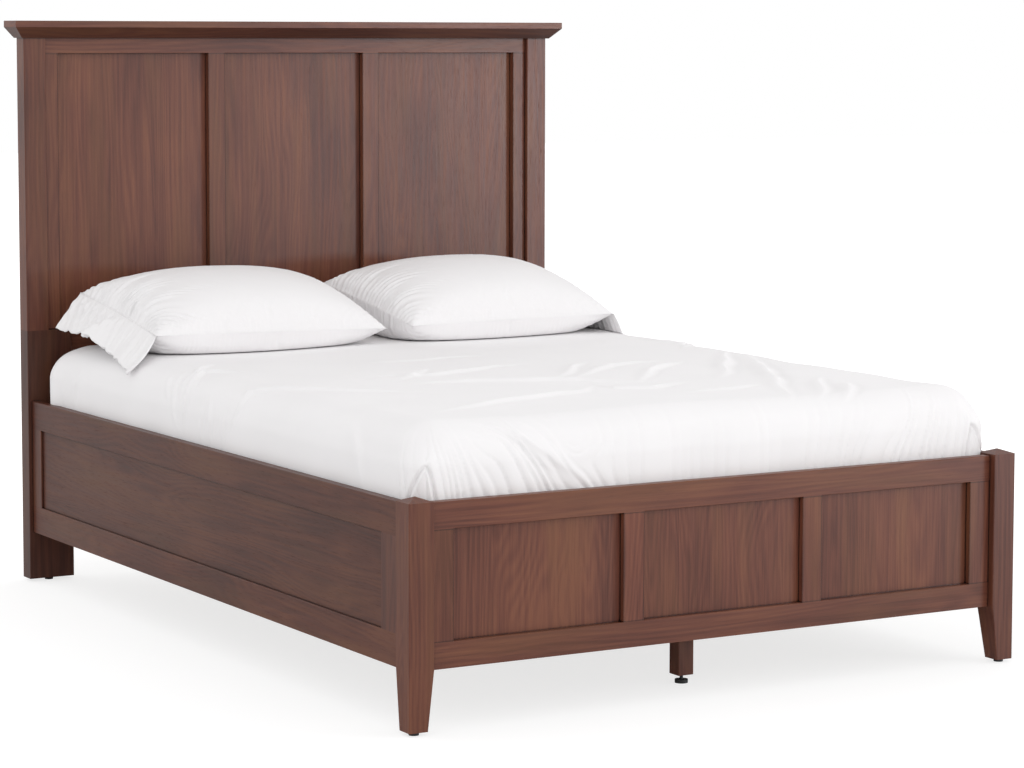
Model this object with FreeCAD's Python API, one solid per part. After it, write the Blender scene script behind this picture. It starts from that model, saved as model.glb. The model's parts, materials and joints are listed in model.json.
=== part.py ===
import FreeCAD, Part
import math
import os

# A queen panel bed: a tall panelled headboard on separate lower legs, a low panelled footboard between
# tapered posts, framed side rails hooked to both, and slats on a centre beam with three levelling legs.
# It is dressed with a mattress in a fitted sheet and two pillows.
# Millimetres. X runs across the bed, Y from the footboard to the headboard and Z up.
# The origin is on the floor, under the middle of the bed.

# ---- Driving dimensions ------------------------------------------------------------------------------

# Mattress, which sets the size of the bed
MATTRESS_WIDTH = 1516.0
MATTRESS_LENGTH = 2020.0
MATTRESS_THICKNESS = 295.0
MATTRESS_CORNER = 68.0           # radius of the upright corners
MATTRESS_CORNER_STEPS = 6
MATTRESS_EDGE = 32.0             # bevel round the top and bottom
MATTRESS_SIDE_GAP = 7.0          # mattress to the inside of a side rail
MATTRESS_TUCK = 7.7              # how far the foot end reaches in between the foot posts
MATTRESS_HEAD_GAP = 66.7         # mattress to the front of the headboard's posts
SHEET_THICKNESS = 2.0
SHEET_TURN_UNDER = 90.0          # width of the sheet's elastic edge under the mattress

# Fits
FIT = 0.3                        # clearance a side round tenons, panels and plates
ROUND_FIT = 0.1                  # radial clearance round bolts, dowels and screws
END_ROOM = 1.5                   # room past the end of a tenon, dowel or screw
EASE = 1.5                       # bevel that takes the sharpness off long edges
OPENING_BEVEL = 1.2              # small bevel round each framed opening

# Frame and panel joinery
PANEL_THICKNESS = 6.0
GROOVE_DEPTH = 10.0              # groove that holds the panels and the uprights' stub tenons
STUB_TENON = 9.0
TONGUE = 8.0                     # how far a panel reaches into its groove
RAIL_TENON = 22.0                # length of a rail's tenon in its post
TENON_THICKNESS = 10.0
TENON_SHOULDER = 13.0            # above and below a rail's tenon

# Footboard
FOOT_POST = 60.0                 # square
FOOT_POST_TOP = 491.5            # height of the post's top edges
FOOT_POST_PEAK = 10.5            # rise of the shallow pyramid on top
FOOT_TAPER = 15.0                # taken off each inner face at the bottom
FOOT_TAPER_START = 138.0
FOOT_FRAME_RECESS = 18.0         # frame behind the front of the posts
FOOT_FRAME_THICKNESS = 25.0
FOOT_FRAME_TOP_DROP = 3.5        # frame's top below the post's top edges
FOOT_FRAME_BOTTOM = 133.6
FOOT_TOP_RAIL = 58.4
FOOT_BOTTOM_RAIL = 56.8
FOOT_STILE = 56.5
FOOT_MULLION = 53.0
FOOT_CENTRE_OPENING = 420.5
FOOT_PANEL_RECESS = 15.0

# Headboard
HEAD_POST_WIDTH = 61.0
HEAD_POST_DEPTH = 52.0
HEAD_LEG_WIDTH = 125.0
HEAD_JOINT_HEIGHT = 674.5        # where the upper posts and frame stand on the lower legs
HEAD_FRAME_RECESS = 13.5
HEAD_FRAME_THICKNESS = 30.0
HEAD_TOP_RAIL_SHOWING = 40.7     # of the top rail, between the openings and the crown
HEAD_STILE = 39.5
HEAD_MULLION = 50.5
HEAD_CENTRE_OPENING = 423.0
HEAD_PANEL_RECESS = 19.0
LOWER_BOARD_HEIGHT = 400.0       # the board between the lower legs
CROWN_BOTTOM = 1450.1            # underside of the crown's moulding
CROWN_BEVEL = 28.4               # height of the sloping moulding
CROWN_LIP = 16.9                 # thickness of the cap
CROWN_OVERHANG = 34.5            # of the cap beyond the posts
CROWN_STEP = 7.0                 # of the moulding's foot beyond the posts
DOWEL_RADIUS = 5.0
DOWEL_LENGTH = 60.0
DOWEL_SPACING = 34.0

# Side rails
RAIL_THICKNESS = 24.5
RAIL_INSET = 10.5                # rail behind the outer face of the posts
RAIL_TOP_DROP = 5.0              # rail's top below the foot post's top edges
RAIL_BOTTOM = 134.9
RAIL_TOP_MEMBER = 73.4
RAIL_BOTTOM_MEMBER = 71.6
RAIL_STILE_FOOT = 85.0
RAIL_STILE_HEAD = 60.0
RAIL_PANEL_RECESS = 6.0

# Hooks that hang the side rails on the posts
PLATE_WIDTH = 16.0
PLATE_LENGTH = 130.0
PLATE_THICKNESS = 3.0
HOOK_SPACING = 62.0
HOOK_THICKNESS = 3.0
HOOK_NECK = 20.0
HOOK_DROP = 9.0                  # how far the hook's lip hangs behind its slot
HOOK_LIP = 4.0
SLOT_SIDE_ROOM = 0.5
POCKET_DEPTH = 14.0
SCREW_RADIUS = 2.0
SCREW_HEAD_RADIUS = 3.8
SCREW_LENGTH = 24.0
SCREW_EDGE = 9.0                 # screw to the end of its plate
PIN_SIDES = 8                    # flat sides of each small hidden fastener

# Slats, their ledgers and the centre beam
SLAT_TOP_DROP = 146.5            # slats below the top of the side rails
SLAT_THICKNESS = 18.0
SLAT_WIDTH = 70.0
SLAT_COUNT = 14
SLAT_END_GAP = 2.0               # slat to the inside of a side rail
SLAT_FIRST_GAP = 15.0            # first slat to the foot posts, last slat to the head legs
LEDGER = 25.0                    # square
BEAM_WIDTH = 40.0
BEAM_HEIGHT = 60.0
CENTRE_LEG = 40.0                # square
CENTRE_LEG_SETBACK = 169.0       # front of the first leg behind the front of the foot posts
CENTRE_LEG_COUNT = 3
CENTRE_LEG_LIFT = 20.0           # leg's end above the floor
LEG_BOLT_RADIUS = 4.0
LEG_BOLT_IN_LEG = 30.0
LEG_BOLT_IN_BEAM = 38.0

# Feet
GLIDE_HEIGHT = 8.0
GLIDE_RADIUS = 11.0
GLIDE_NAIL_RADIUS = 1.5
GLIDE_NAIL_LENGTH = 16.0
LEVELLER_RADIUS = 15.0
LEVELLER_PAD = 8.0               # thickness of the pad
STUD_RADIUS = 4.0
STUD_IN_LEG = 25.0
STUD_UP_ROOM = 14.0              # room above the stud for screwing the foot in
INSERT_RADIUS = 6.0
INSERT_LENGTH = 15.0

# Pillows
PILLOW_LENGTH = 635.0
PILLOW_DEPTH = 490.0
PILLOW_UPPER = 122.0             # rise of the top above the seam
PILLOW_LOWER = 88.0              # drop of the underside below the seam
PILLOW_SEAM = 10.0               # thickness at the seam
PILLOW_TILT = 10.0               # degrees, the back edge is higher
PILLOW_BACK_GAP = 26.0           # back seam to the mattress's head end
PILLOW_MIDDLE_GAP = 80.0         # between the two pillows
LEFT_PILLOW_TURN = -5.4          # degrees about the vertical
RIGHT_PILLOW_TURN = 3.3
HEM_LENGTH = 95.0                # open end of the pillowcase, past the seam
HEM_THICKNESS = 6.0
HEM_DROOP = 25.0                 # degrees
HEM_SIDE_INSET = 14.0            # hem narrower than the pillow, on each side
HEM_OVERLAP = 14.0               # how far the hem starts inside the pillow's end

# ---- Places worked out from the sizes above ----------------------------------------------------------

RAIL_INSIDE = MATTRESS_WIDTH / 2 + MATTRESS_SIDE_GAP
RAIL_OUTSIDE = RAIL_INSIDE + RAIL_THICKNESS
RAIL_MIDDLE = (RAIL_INSIDE + RAIL_OUTSIDE) / 2
HALF_WIDTH = RAIL_OUTSIDE + RAIL_INSET
BED_LENGTH = FOOT_POST - MATTRESS_TUCK + MATTRESS_LENGTH + MATTRESS_HEAD_GAP + HEAD_POST_DEPTH

FOOT_FRAME_TOP = FOOT_POST_TOP - FOOT_FRAME_TOP_DROP
RAIL_TOP = FOOT_POST_TOP - RAIL_TOP_DROP
PLATE_HEIGHT = (RAIL_BOTTOM + RAIL_TOP) / 2

FOOT_FRONT = -BED_LENGTH / 2
FOOT_BACK = FOOT_FRONT + FOOT_POST
HEAD_BACK = BED_LENGTH / 2
HEAD_FRONT = HEAD_BACK - HEAD_POST_DEPTH
HEAD_FRAME_FRONT = HEAD_FRONT + HEAD_FRAME_RECESS

HEAD_OPENING_TOP = CROWN_BOTTOM - HEAD_TOP_RAIL_SHOWING
CROWN_TOP_OF_BEVEL = CROWN_BOTTOM + CROWN_BEVEL
SLAT_TOP = RAIL_TOP - SLAT_TOP_DROP
SLAT_BOTTOM = SLAT_TOP - SLAT_THICKNESS
BEAM_BOTTOM = SLAT_BOTTOM - BEAM_HEIGHT
SLATS_FRONT = FOOT_BACK + SLAT_FIRST_GAP
SLATS_BACK = HEAD_FRONT - SLAT_FIRST_GAP
MATTRESS_FOOT = FOOT_BACK - MATTRESS_TUCK
MATTRESS_BOTTOM = SLAT_TOP + SHEET_THICKNESS + 2 * FIT
BED_TOP = MATTRESS_BOTTOM + MATTRESS_THICKNESS + SHEET_THICKNESS + FIT


# ---- Small helpers -----------------------------------------------------------------------------------

def point(x, y, z):
    return FreeCAD.Vector(x, y, z)


def block(x, y, z):
    """A box from its low and high X, Y and Z."""
    return Part.makeBox(x[1] - x[0], y[1] - y[0], z[1] - z[0], point(x[0], y[0], z[0]))


def cylinder(radius, x, y, z):
    """An upright cylinder between two heights."""
    return Part.makeCylinder(radius, z[1] - z[0], point(x, y, z[0]))


def pin(radius, x, y, z):
    """An upright pin with flat sides, the plain form of the small hidden fasteners and their holes.

    The radius is the one to its flat sides.
    """
    reach = radius / math.cos(math.pi / PIN_SIDES)
    turns = [2 * math.pi * corner / PIN_SIDES for corner in range(PIN_SIDES)]
    corners = [point(x + reach * math.cos(turn), y + reach * math.sin(turn), z[0]) for turn in turns]
    return prism(corners, point(0, 0, z[1] - z[0]))


def level_pin(radius, y, z):
    """The same pin along Y, at x = 0 and a height z."""
    return moved(turned(pin(radius, 0, 0, y), point(1, 0, 0), -90), z=z)


def moved(shape, x=0.0, y=0.0, z=0.0):
    copy = shape.copy()
    copy.translate(point(x, y, z))
    return copy


def turned(shape, axis, degrees):
    copy = shape.copy()
    copy.rotate(point(0, 0, 0), axis, degrees)
    return copy


def mirrored_x(shape):
    return shape.mirror(point(0, 0, 0), point(1, 0, 0))


def mirrored_y(shape):
    return shape.mirror(point(0, 0, 0), point(0, 1, 0))


def polygon(points):
    return Part.makePolygon(points + points[:1])


def prism(points, sweep):
    """A solid from a closed outline of points and a sweep vector."""
    return Part.Face(polygon(points)).extrude(sweep)


def eased_outline(x, y, z):
    """A rectangle at height z with its four corners bevelled."""
    corners = (
        (x[0] + EASE, y[0]), (x[1] - EASE, y[0]), (x[1], y[0] + EASE), (x[1], y[1] - EASE),
        (x[1] - EASE, y[1]), (x[0] + EASE, y[1]), (x[0], y[1] - EASE), (x[0], y[0] + EASE),
    )
    return polygon([point(corner[0], corner[1], z) for corner in corners])


def eased_post(x, y, z):
    """An upright post with bevelled long edges."""
    return Part.Face(eased_outline(x, y, z[0])).extrude(point(0, 0, z[1] - z[0]))


def eased_top(shape, along):
    """The shape with the two long edges of its top bevelled."""
    top = shape.BoundBox.ZMax
    edges = []
    for edge in shape.Edges:
        box = edge.BoundBox
        length = box.XLength if along == "x" else box.YLength
        full = shape.BoundBox.XLength if along == "x" else shape.BoundBox.YLength
        if box.ZMin > top - EASE and length > full / 2:
            edges.append(edge)
    return shape.makeChamfer(EASE, edges)


def save(name, *solids):
    """Write one piece, or a group of loose pieces that share a name."""
    shape = solids[0] if len(solids) == 1 else Part.makeCompound(list(solids))
    shape.exportStep("parts/" + name + ".step")


def save_pair(name, right):
    """Write a right-hand piece and its mirror image on the left."""
    save(name + "_right", right)
    save(name + "_left", mirrored_x(right))


# ---- Frames with panels ------------------------------------------------------------------------------

class PanelFrame:
    """Rails, uprights and panels of one framed face.

    It is drawn with its front in the plane y = 0, its middle at x = 0 and its real heights. A groove
    round each opening holds the panel's tongue. The uprights' stub tenons sit in the rails' grooves.
    """

    def __init__(self, width, thickness, heights, recess, openings):
        self.width = width
        self.thickness = thickness
        self.bottom, self.sill, self.head, self.top = heights
        self.recess = recess
        self.openings = openings

    def groove(self, x, z):
        deep = self.recess + PANEL_THICKNESS + FIT
        return block(x, (self.recess - FIT, deep), z)

    def rail_tenon(self, z, clearance=0.0):
        """The tenon at both ends of a rail. With a clearance it cuts the mortises in the posts."""
        reach = self.width / 2 + RAIL_TENON + (END_ROOM if clearance else 0.0)
        middle = self.thickness / 2
        half = TENON_THICKNESS / 2 + clearance
        low = z[0] + TENON_SHOULDER - clearance
        high = z[1] - TENON_SHOULDER + clearance
        return block((-reach, reach), (middle - half, middle + half), (low, high))

    def rail(self, z, groove_z, tenons):
        edge = (-self.width / 2, self.width / 2)
        shape = block(edge, (0, self.thickness), z)
        if tenons:
            shape = shape.fuse(self.rail_tenon(z)).removeSplitter()
        return self.bevelled(shape.cut(self.groove(edge, groove_z)))

    def top_rail(self, tenons=True):
        return self.rail((self.head, self.top), (self.head, self.head + GROOVE_DEPTH), tenons)

    def bottom_rail(self, tenons=True):
        return self.rail((self.bottom, self.sill), (self.sill - GROOVE_DEPTH, self.sill), tenons)

    def uprights(self):
        """The stiles and mullions, from the low x to the high x."""
        edges = [-self.width / 2]
        for low, high in self.openings:
            edges += [low, high]
        edges.append(self.width / 2)
        spans = list(zip(edges[0::2], edges[1::2]))
        return [self.upright(index, span, len(spans)) for index, span in enumerate(spans)]

    def upright(self, index, x, count):
        tenon_y = (self.recess, self.recess + PANEL_THICKNESS)
        tall = (self.sill - STUB_TENON, self.head + STUB_TENON)
        shape = block(x, (0, self.thickness), (self.sill, self.head))
        shape = shape.fuse(block(x, tenon_y, tall)).removeSplitter()
        if index > 0:
            shape = shape.cut(self.groove((x[0], x[0] + GROOVE_DEPTH), tall))
        if index < count - 1:
            shape = shape.cut(self.groove((x[1] - GROOVE_DEPTH, x[1]), tall))
        return self.bevelled(shape)

    def panels(self, flush_back=False):
        """One panel for each opening. A flush one is thick, with a thin tongue round it."""
        shapes = []
        for low, high in self.openings:
            tongue_x = (low - TONGUE, high + TONGUE)
            tongue_z = (self.sill - TONGUE, self.head + TONGUE)
            shape = block(tongue_x, (self.recess, self.recess + PANEL_THICKNESS), tongue_z)
            if flush_back:
                core_x = (low + FIT, high - FIT)
                core_z = (self.sill + FIT, self.head - FIT)
                core = block(core_x, (self.recess, self.thickness), core_z)
                shape = shape.fuse(core).removeSplitter()
            shapes.append(shape)
        return shapes

    def bevelled(self, shape):
        """The shape less the small mitred bevel round the front of each opening."""
        for low, high in self.openings:
            front = self.opening_outline(low, high, OPENING_BEVEL, 0.0)
            back = self.opening_outline(low, high, 0.0, OPENING_BEVEL)
            shape = shape.cut(Part.makeLoft([front, back], True, True))
        return shape

    def opening_outline(self, low, high, growth, y):
        x = (low - growth, high + growth)
        z = (self.sill - growth, self.head + growth)
        corners = ((x[0], z[0]), (x[1], z[0]), (x[1], z[1]), (x[0], z[1]))
        return polygon([point(corner[0], y, corner[1]) for corner in corners])


def three_openings(width, stile, mullion, centre):
    """The low and high x of three openings, the middle one of a set width."""
    inner = centre / 2
    outer = inner + mullion
    end = width / 2 - stile
    return [(-end, -outer), (-inner, inner), (outer, end)]


# ---- Hooks and plates at the four corners of the side rails ------------------------------------------

def hook_plate():
    """The plate let into a rail's end, at y = 0, with two hooks that point along +Y."""
    half_x = PLATE_WIDTH / 2
    half_z = PLATE_LENGTH / 2
    plate = block((-half_x, half_x), (-PLATE_THICKNESS, 0), (-half_z, half_z))
    hook_x = (-HOOK_THICKNESS / 2, HOOK_THICKNESS / 2)
    lip_start = PLATE_THICKNESS + FIT
    for middle in (-HOOK_SPACING / 2, HOOK_SPACING / 2):
        low = middle - HOOK_NECK / 2
        high = middle + HOOK_NECK / 2
        neck = block(hook_x, (-PLATE_THICKNESS, lip_start + HOOK_LIP), (low, high))
        lip = block(hook_x, (lip_start, lip_start + HOOK_LIP), (low - HOOK_DROP, high))
        plate = plate.fuse(neck).fuse(lip)
    return plate.removeSplitter().cut(plate_holes(-PLATE_THICKNESS, 0))


def slot_plate():
    """The plate let into a post, behind y = 0, with a slot for each hook."""
    half_x = PLATE_WIDTH / 2
    half_z = PLATE_LENGTH / 2
    plate = block((-half_x, half_x), (0, PLATE_THICKNESS), (-half_z, half_z))
    slot_x = (-HOOK_THICKNESS / 2 - SLOT_SIDE_ROOM, HOOK_THICKNESS / 2 + SLOT_SIDE_ROOM)
    for middle in (-HOOK_SPACING / 2, HOOK_SPACING / 2):
        low = middle - HOOK_NECK / 2
        high = middle + HOOK_NECK / 2 + HOOK_DROP + END_ROOM
        plate = plate.cut(block(slot_x, (0, PLATE_THICKNESS), (low, high)))
    return plate.cut(plate_holes(0, PLATE_THICKNESS))


def plate_screw_heights():
    reach = PLATE_LENGTH / 2 - SCREW_EDGE
    return (-reach, reach)


def plate_holes(y_low, y_high):
    radius = SCREW_HEAD_RADIUS + ROUND_FIT
    holes = [level_pin(radius, (y_low, y_high), z) for z in plate_screw_heights()]
    return Part.makeCompound(holes)


def plate_screws(into_post):
    """The two screws of one plate, with their heads in the plate's holes."""
    screws = []
    for z in plate_screw_heights():
        if into_post:
            head = level_pin(SCREW_HEAD_RADIUS, (0, PLATE_THICKNESS), z)
            shank = level_pin(SCREW_RADIUS, (0, SCREW_LENGTH), z)
        else:
            head = level_pin(SCREW_HEAD_RADIUS, (-PLATE_THICKNESS, 0), z)
            shank = level_pin(SCREW_RADIUS, (-SCREW_LENGTH, 0), z)
        screws.append(head.fuse(shank).removeSplitter())
    return screws


def plate_seat(into_post):
    """What is cut from a rail's end or a post for the plate, its screws and its hooks."""
    half_x = PLATE_WIDTH / 2 + FIT
    half_z = PLATE_LENGTH / 2 + FIT
    depth = SCREW_LENGTH + END_ROOM
    radius = SCREW_RADIUS + ROUND_FIT
    if into_post:
        seat = block((-half_x, half_x), (0, PLATE_THICKNESS), (-half_z, half_z))
        pocket_x = HOOK_THICKNESS / 2 + SLOT_SIDE_ROOM
        pocket_z = HOOK_SPACING / 2 + HOOK_NECK / 2 + HOOK_DROP + END_ROOM
        pocket_y = (PLATE_THICKNESS, PLATE_THICKNESS + POCKET_DEPTH)
        seat = seat.fuse(block((-pocket_x, pocket_x), pocket_y, (-pocket_z, pocket_z)))
        holes = [level_pin(radius, (0, depth), z) for z in plate_screw_heights()]
    else:
        seat = block((-half_x, half_x), (-PLATE_THICKNESS, 0), (-half_z, half_z))
        holes = [level_pin(radius, (-depth, 0), z) for z in plate_screw_heights()]
    return seat.multiFuse(holes)


def at_head(shape):
    """A corner piece drawn at y = 0, put at the right rail's head end."""
    return moved(shape, x=RAIL_MIDDLE, y=HEAD_FRONT, z=PLATE_HEIGHT)


def at_foot(shape):
    """The same, put at the right rail's foot end and facing the other way."""
    return moved(mirrored_y(shape), x=RAIL_MIDDLE, y=FOOT_BACK, z=PLATE_HEIGHT)


def at_corners(shape):
    right = [at_head(shape), at_foot(shape)]
    return right + [mirrored_x(piece) for piece in right]


def make_hardware():
    save("rail_hook_plates", *at_corners(hook_plate()))
    save("post_slot_plates", *at_corners(slot_plate()))
    screws = []
    for screw in plate_screws(True) + plate_screws(False):
        screws += at_corners(screw)
    save("plate_screws", *screws)


# ---- Feet under the corners --------------------------------------------------------------------------

def glide():
    """A plastic glide with its nail, standing on z = 0."""
    pad = cylinder(GLIDE_RADIUS, 0, 0, (0, GLIDE_HEIGHT))
    return pad.fuse(pin(GLIDE_NAIL_RADIUS, 0, 0, (GLIDE_HEIGHT, GLIDE_HEIGHT + GLIDE_NAIL_LENGTH)))


def glide_places():
    """The middle of each right-hand leg's end: the foot post, then the head leg."""
    foot = (HALF_WIDTH - (FOOT_POST - FOOT_TAPER) / 2, FOOT_FRONT + (FOOT_POST - FOOT_TAPER) / 2)
    head = (HALF_WIDTH - HEAD_LEG_WIDTH / 2, HEAD_FRONT + HEAD_POST_DEPTH / 2)
    return foot, head


def nail_hole(place):
    top = GLIDE_HEIGHT + GLIDE_NAIL_LENGTH + END_ROOM
    return pin(GLIDE_NAIL_RADIUS + ROUND_FIT, place[0], place[1], (GLIDE_HEIGHT, top))


def make_glides():
    right = [moved(glide(), x=place[0], y=place[1]) for place in glide_places()]
    save("corner_glides", *(right + [mirrored_x(piece) for piece in right]))


# ---- Footboard ---------------------------------------------------------------------------------------

def foot_frame():
    width = 2 * (HALF_WIDTH - FOOT_POST)
    openings = three_openings(width, FOOT_STILE, FOOT_MULLION, FOOT_CENTRE_OPENING)
    sill = FOOT_FRAME_BOTTOM + FOOT_BOTTOM_RAIL
    heights = (FOOT_FRAME_BOTTOM, sill, FOOT_FRAME_TOP - FOOT_TOP_RAIL, FOOT_FRAME_TOP)
    return PanelFrame(width, FOOT_FRAME_THICKNESS, heights, FOOT_PANEL_RECESS, openings)


def in_footboard(shape):
    return moved(shape, y=FOOT_FRONT + FOOT_FRAME_RECESS)


def foot_post(frame):
    """The right post: tapered on its two inner faces below, with a shallow pyramid on top."""
    x = (HALF_WIDTH - FOOT_POST, HALF_WIDTH)
    y = (FOOT_FRONT, FOOT_BACK)
    foot_outline = eased_outline((x[0] + FOOT_TAPER, x[1]), (y[0], y[1] - FOOT_TAPER), GLIDE_HEIGHT)
    taper = Part.makeLoft([foot_outline, eased_outline(x, y, FOOT_TAPER_START)], True, True)
    shaft = eased_post(x, y, (FOOT_TAPER_START, FOOT_POST_TOP))
    peak = Part.Vertex(point(sum(x) / 2, sum(y) / 2, FOOT_POST_TOP + FOOT_POST_PEAK))
    pyramid = Part.makeLoft([eased_outline(x, y, FOOT_POST_TOP), peak], True, True)
    post = taper.fuse(shaft).fuse(pyramid).removeSplitter()
    for z in ((frame.bottom, frame.sill), (frame.head, frame.top)):
        post = post.cut(in_footboard(frame.rail_tenon(z, FIT)))
    return post.cut(at_foot(plate_seat(True))).cut(nail_hole(glide_places()[0]))


def make_footboard():
    frame = foot_frame()
    save_pair("footboard_post", foot_post(frame))
    save("footboard_top_rail", in_footboard(eased_top(frame.top_rail(), "x")))
    save("footboard_bottom_rail", in_footboard(frame.bottom_rail()))
    upright_names = ("stile_left", "mullion_left", "mullion_right", "stile_right")
    for name, upright in zip(upright_names, frame.uprights()):
        save("footboard_" + name, in_footboard(upright))
    for name, panel in zip(("left", "centre", "right"), frame.panels()):
        save("footboard_panel_" + name, in_footboard(panel))


# ---- Headboard ---------------------------------------------------------------------------------------

def head_frame():
    width = 2 * (HALF_WIDTH - HEAD_POST_WIDTH)
    openings = three_openings(width, HEAD_STILE, HEAD_MULLION, HEAD_CENTRE_OPENING)
    board_bottom = HEAD_JOINT_HEIGHT - LOWER_BOARD_HEIGHT
    heights = (board_bottom, HEAD_JOINT_HEIGHT, HEAD_OPENING_TOP, CROWN_TOP_OF_BEVEL)
    return PanelFrame(width, HEAD_FRAME_THICKNESS, heights, HEAD_PANEL_RECESS, openings)


def lower_frame(frame):
    """The board between the lower legs: the headboard frame's lowest rail, narrower than the rest."""
    width = 2 * (HALF_WIDTH - HEAD_LEG_WIDTH)
    heights = (frame.bottom, frame.sill, frame.head, frame.top)
    return PanelFrame(width, HEAD_FRAME_THICKNESS, heights, HEAD_PANEL_RECESS, [])


def in_headboard(shape):
    return moved(shape, y=HEAD_FRAME_FRONT)


def dowel_places():
    """Two dowels in each right-hand joint between post and leg."""
    x = HALF_WIDTH - HEAD_POST_WIDTH / 2
    y = HEAD_FRONT + HEAD_POST_DEPTH / 2
    return ((x - DOWEL_SPACING / 2, y), (x + DOWEL_SPACING / 2, y))


def dowels(radius, half_length):
    z = (HEAD_JOINT_HEIGHT - half_length, HEAD_JOINT_HEIGHT + half_length)
    return [pin(radius, place[0], place[1], z) for place in dowel_places()]


def head_post(frame):
    x = (HALF_WIDTH - HEAD_POST_WIDTH, HALF_WIDTH)
    post = eased_post(x, (HEAD_FRONT, HEAD_BACK), (HEAD_JOINT_HEIGHT, CROWN_TOP_OF_BEVEL))
    post = post.cut(in_headboard(frame.rail_tenon((frame.head, frame.top), FIT)))
    return post.cut(dowels(DOWEL_RADIUS + ROUND_FIT, DOWEL_LENGTH / 2 + END_ROOM))


def head_leg(frame, lower):
    """The right lower leg, with a groove on top for the stile's stub tenon and the panel's edge."""
    x = (HALF_WIDTH - HEAD_LEG_WIDTH, HALF_WIDTH)
    leg = eased_post(x, (HEAD_FRONT, HEAD_BACK), (GLIDE_HEIGHT, HEAD_JOINT_HEIGHT))
    groove_x = (x[0], HALF_WIDTH - HEAD_POST_WIDTH)
    groove = frame.groove(groove_x, (HEAD_JOINT_HEIGHT - GROOVE_DEPTH, HEAD_JOINT_HEIGHT))
    leg = leg.cut(in_headboard(groove))
    leg = leg.cut(in_headboard(lower.rail_tenon((lower.bottom, lower.sill), FIT)))
    leg = leg.cut(dowels(DOWEL_RADIUS + ROUND_FIT, DOWEL_LENGTH / 2 + END_ROOM))
    return leg.cut(at_head(plate_seat(True))).cut(nail_hole(glide_places()[1]))


def crown_front_moulding():
    """The sloping moulding across the front, mitred at both ends."""
    foot = HEAD_FRONT - CROWN_STEP
    edge = HEAD_FRONT - CROWN_OVERHANG
    reach = HALF_WIDTH + CROWN_OVERHANG
    outline = [
        point(-reach, HEAD_FRONT, CROWN_BOTTOM), point(-reach, foot, CROWN_BOTTOM),
        point(-reach, edge, CROWN_TOP_OF_BEVEL), point(-reach, HEAD_FRONT, CROWN_TOP_OF_BEVEL),
    ]
    plan = [
        point(-reach, edge, CROWN_BOTTOM), point(reach, edge, CROWN_BOTTOM),
        point(HALF_WIDTH, HEAD_FRONT, CROWN_BOTTOM), point(-HALF_WIDTH, HEAD_FRONT, CROWN_BOTTOM),
    ]
    return prism(outline, point(2 * reach, 0, 0)).common(prism(plan, point(0, 0, CROWN_BEVEL)))


def crown_return():
    """The moulding's right-hand return along the side of the post, mitred at the front."""
    foot = HALF_WIDTH + CROWN_STEP
    edge = HALF_WIDTH + CROWN_OVERHANG
    front = HEAD_FRONT - CROWN_OVERHANG
    outline = [
        point(HALF_WIDTH, front, CROWN_BOTTOM), point(foot, front, CROWN_BOTTOM),
        point(edge, front, CROWN_TOP_OF_BEVEL), point(HALF_WIDTH, front, CROWN_TOP_OF_BEVEL),
    ]
    plan = [
        point(edge, front, CROWN_BOTTOM), point(edge, HEAD_BACK, CROWN_BOTTOM),
        point(HALF_WIDTH, HEAD_BACK, CROWN_BOTTOM), point(HALF_WIDTH, HEAD_FRONT, CROWN_BOTTOM),
    ]
    sweep = point(0, HEAD_BACK - front, 0)
    return prism(outline, sweep).common(prism(plan, point(0, 0, CROWN_BEVEL)))


def crown_cap():
    reach = HALF_WIDTH + CROWN_OVERHANG
    z = (CROWN_TOP_OF_BEVEL, CROWN_TOP_OF_BEVEL + CROWN_LIP)
    return eased_top(block((-reach, reach), (HEAD_FRONT - CROWN_OVERHANG, HEAD_BACK), z), "x")


def make_headboard():
    frame = head_frame()
    lower = lower_frame(frame)
    save_pair("headboard_post", head_post(frame))
    save_pair("headboard_leg", head_leg(frame, lower))
    right_dowels = dowels(DOWEL_RADIUS, DOWEL_LENGTH / 2)
    save("headboard_dowels", *(right_dowels + [mirrored_x(dowel) for dowel in right_dowels]))
    save("headboard_top_rail", in_headboard(frame.top_rail()))
    save("headboard_lower_board", in_headboard(lower.bottom_rail()))
    upright_names = ("stile_left", "mullion_left", "mullion_right", "stile_right")
    for name, upright in zip(upright_names, frame.uprights()):
        save("headboard_" + name, in_headboard(upright))
    for name, panel in zip(("left", "centre", "right"), frame.panels()):
        save("headboard_panel_" + name, in_headboard(panel))
    half = HALF_WIDTH - HEAD_POST_WIDTH
    backing = block((-half, half), (HEAD_FRONT, HEAD_FRAME_FRONT), (CROWN_BOTTOM, CROWN_TOP_OF_BEVEL))
    save("crown_backing_strip", backing)
    save("crown_front_moulding", crown_front_moulding())
    save_pair("crown_return_moulding", crown_return())
    save("crown_cap", crown_cap())


# ---- Side rails --------------------------------------------------------------------------------------

def rail_frame():
    """The right rail's frame. Its low x is the foot end once it is turned to face outwards."""
    length = HEAD_FRONT - FOOT_BACK
    opening = (-length / 2 + RAIL_STILE_FOOT, length / 2 - RAIL_STILE_HEAD)
    heights = (RAIL_BOTTOM, RAIL_BOTTOM + RAIL_BOTTOM_MEMBER, RAIL_TOP - RAIL_TOP_MEMBER, RAIL_TOP)
    return PanelFrame(length, RAIL_THICKNESS, heights, RAIL_PANEL_RECESS, [opening])


def in_right_rail(shape):
    facing_out = turned(shape, point(0, 0, 1), 90)
    return moved(facing_out, x=RAIL_OUTSIDE, y=(FOOT_BACK + HEAD_FRONT) / 2)


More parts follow.
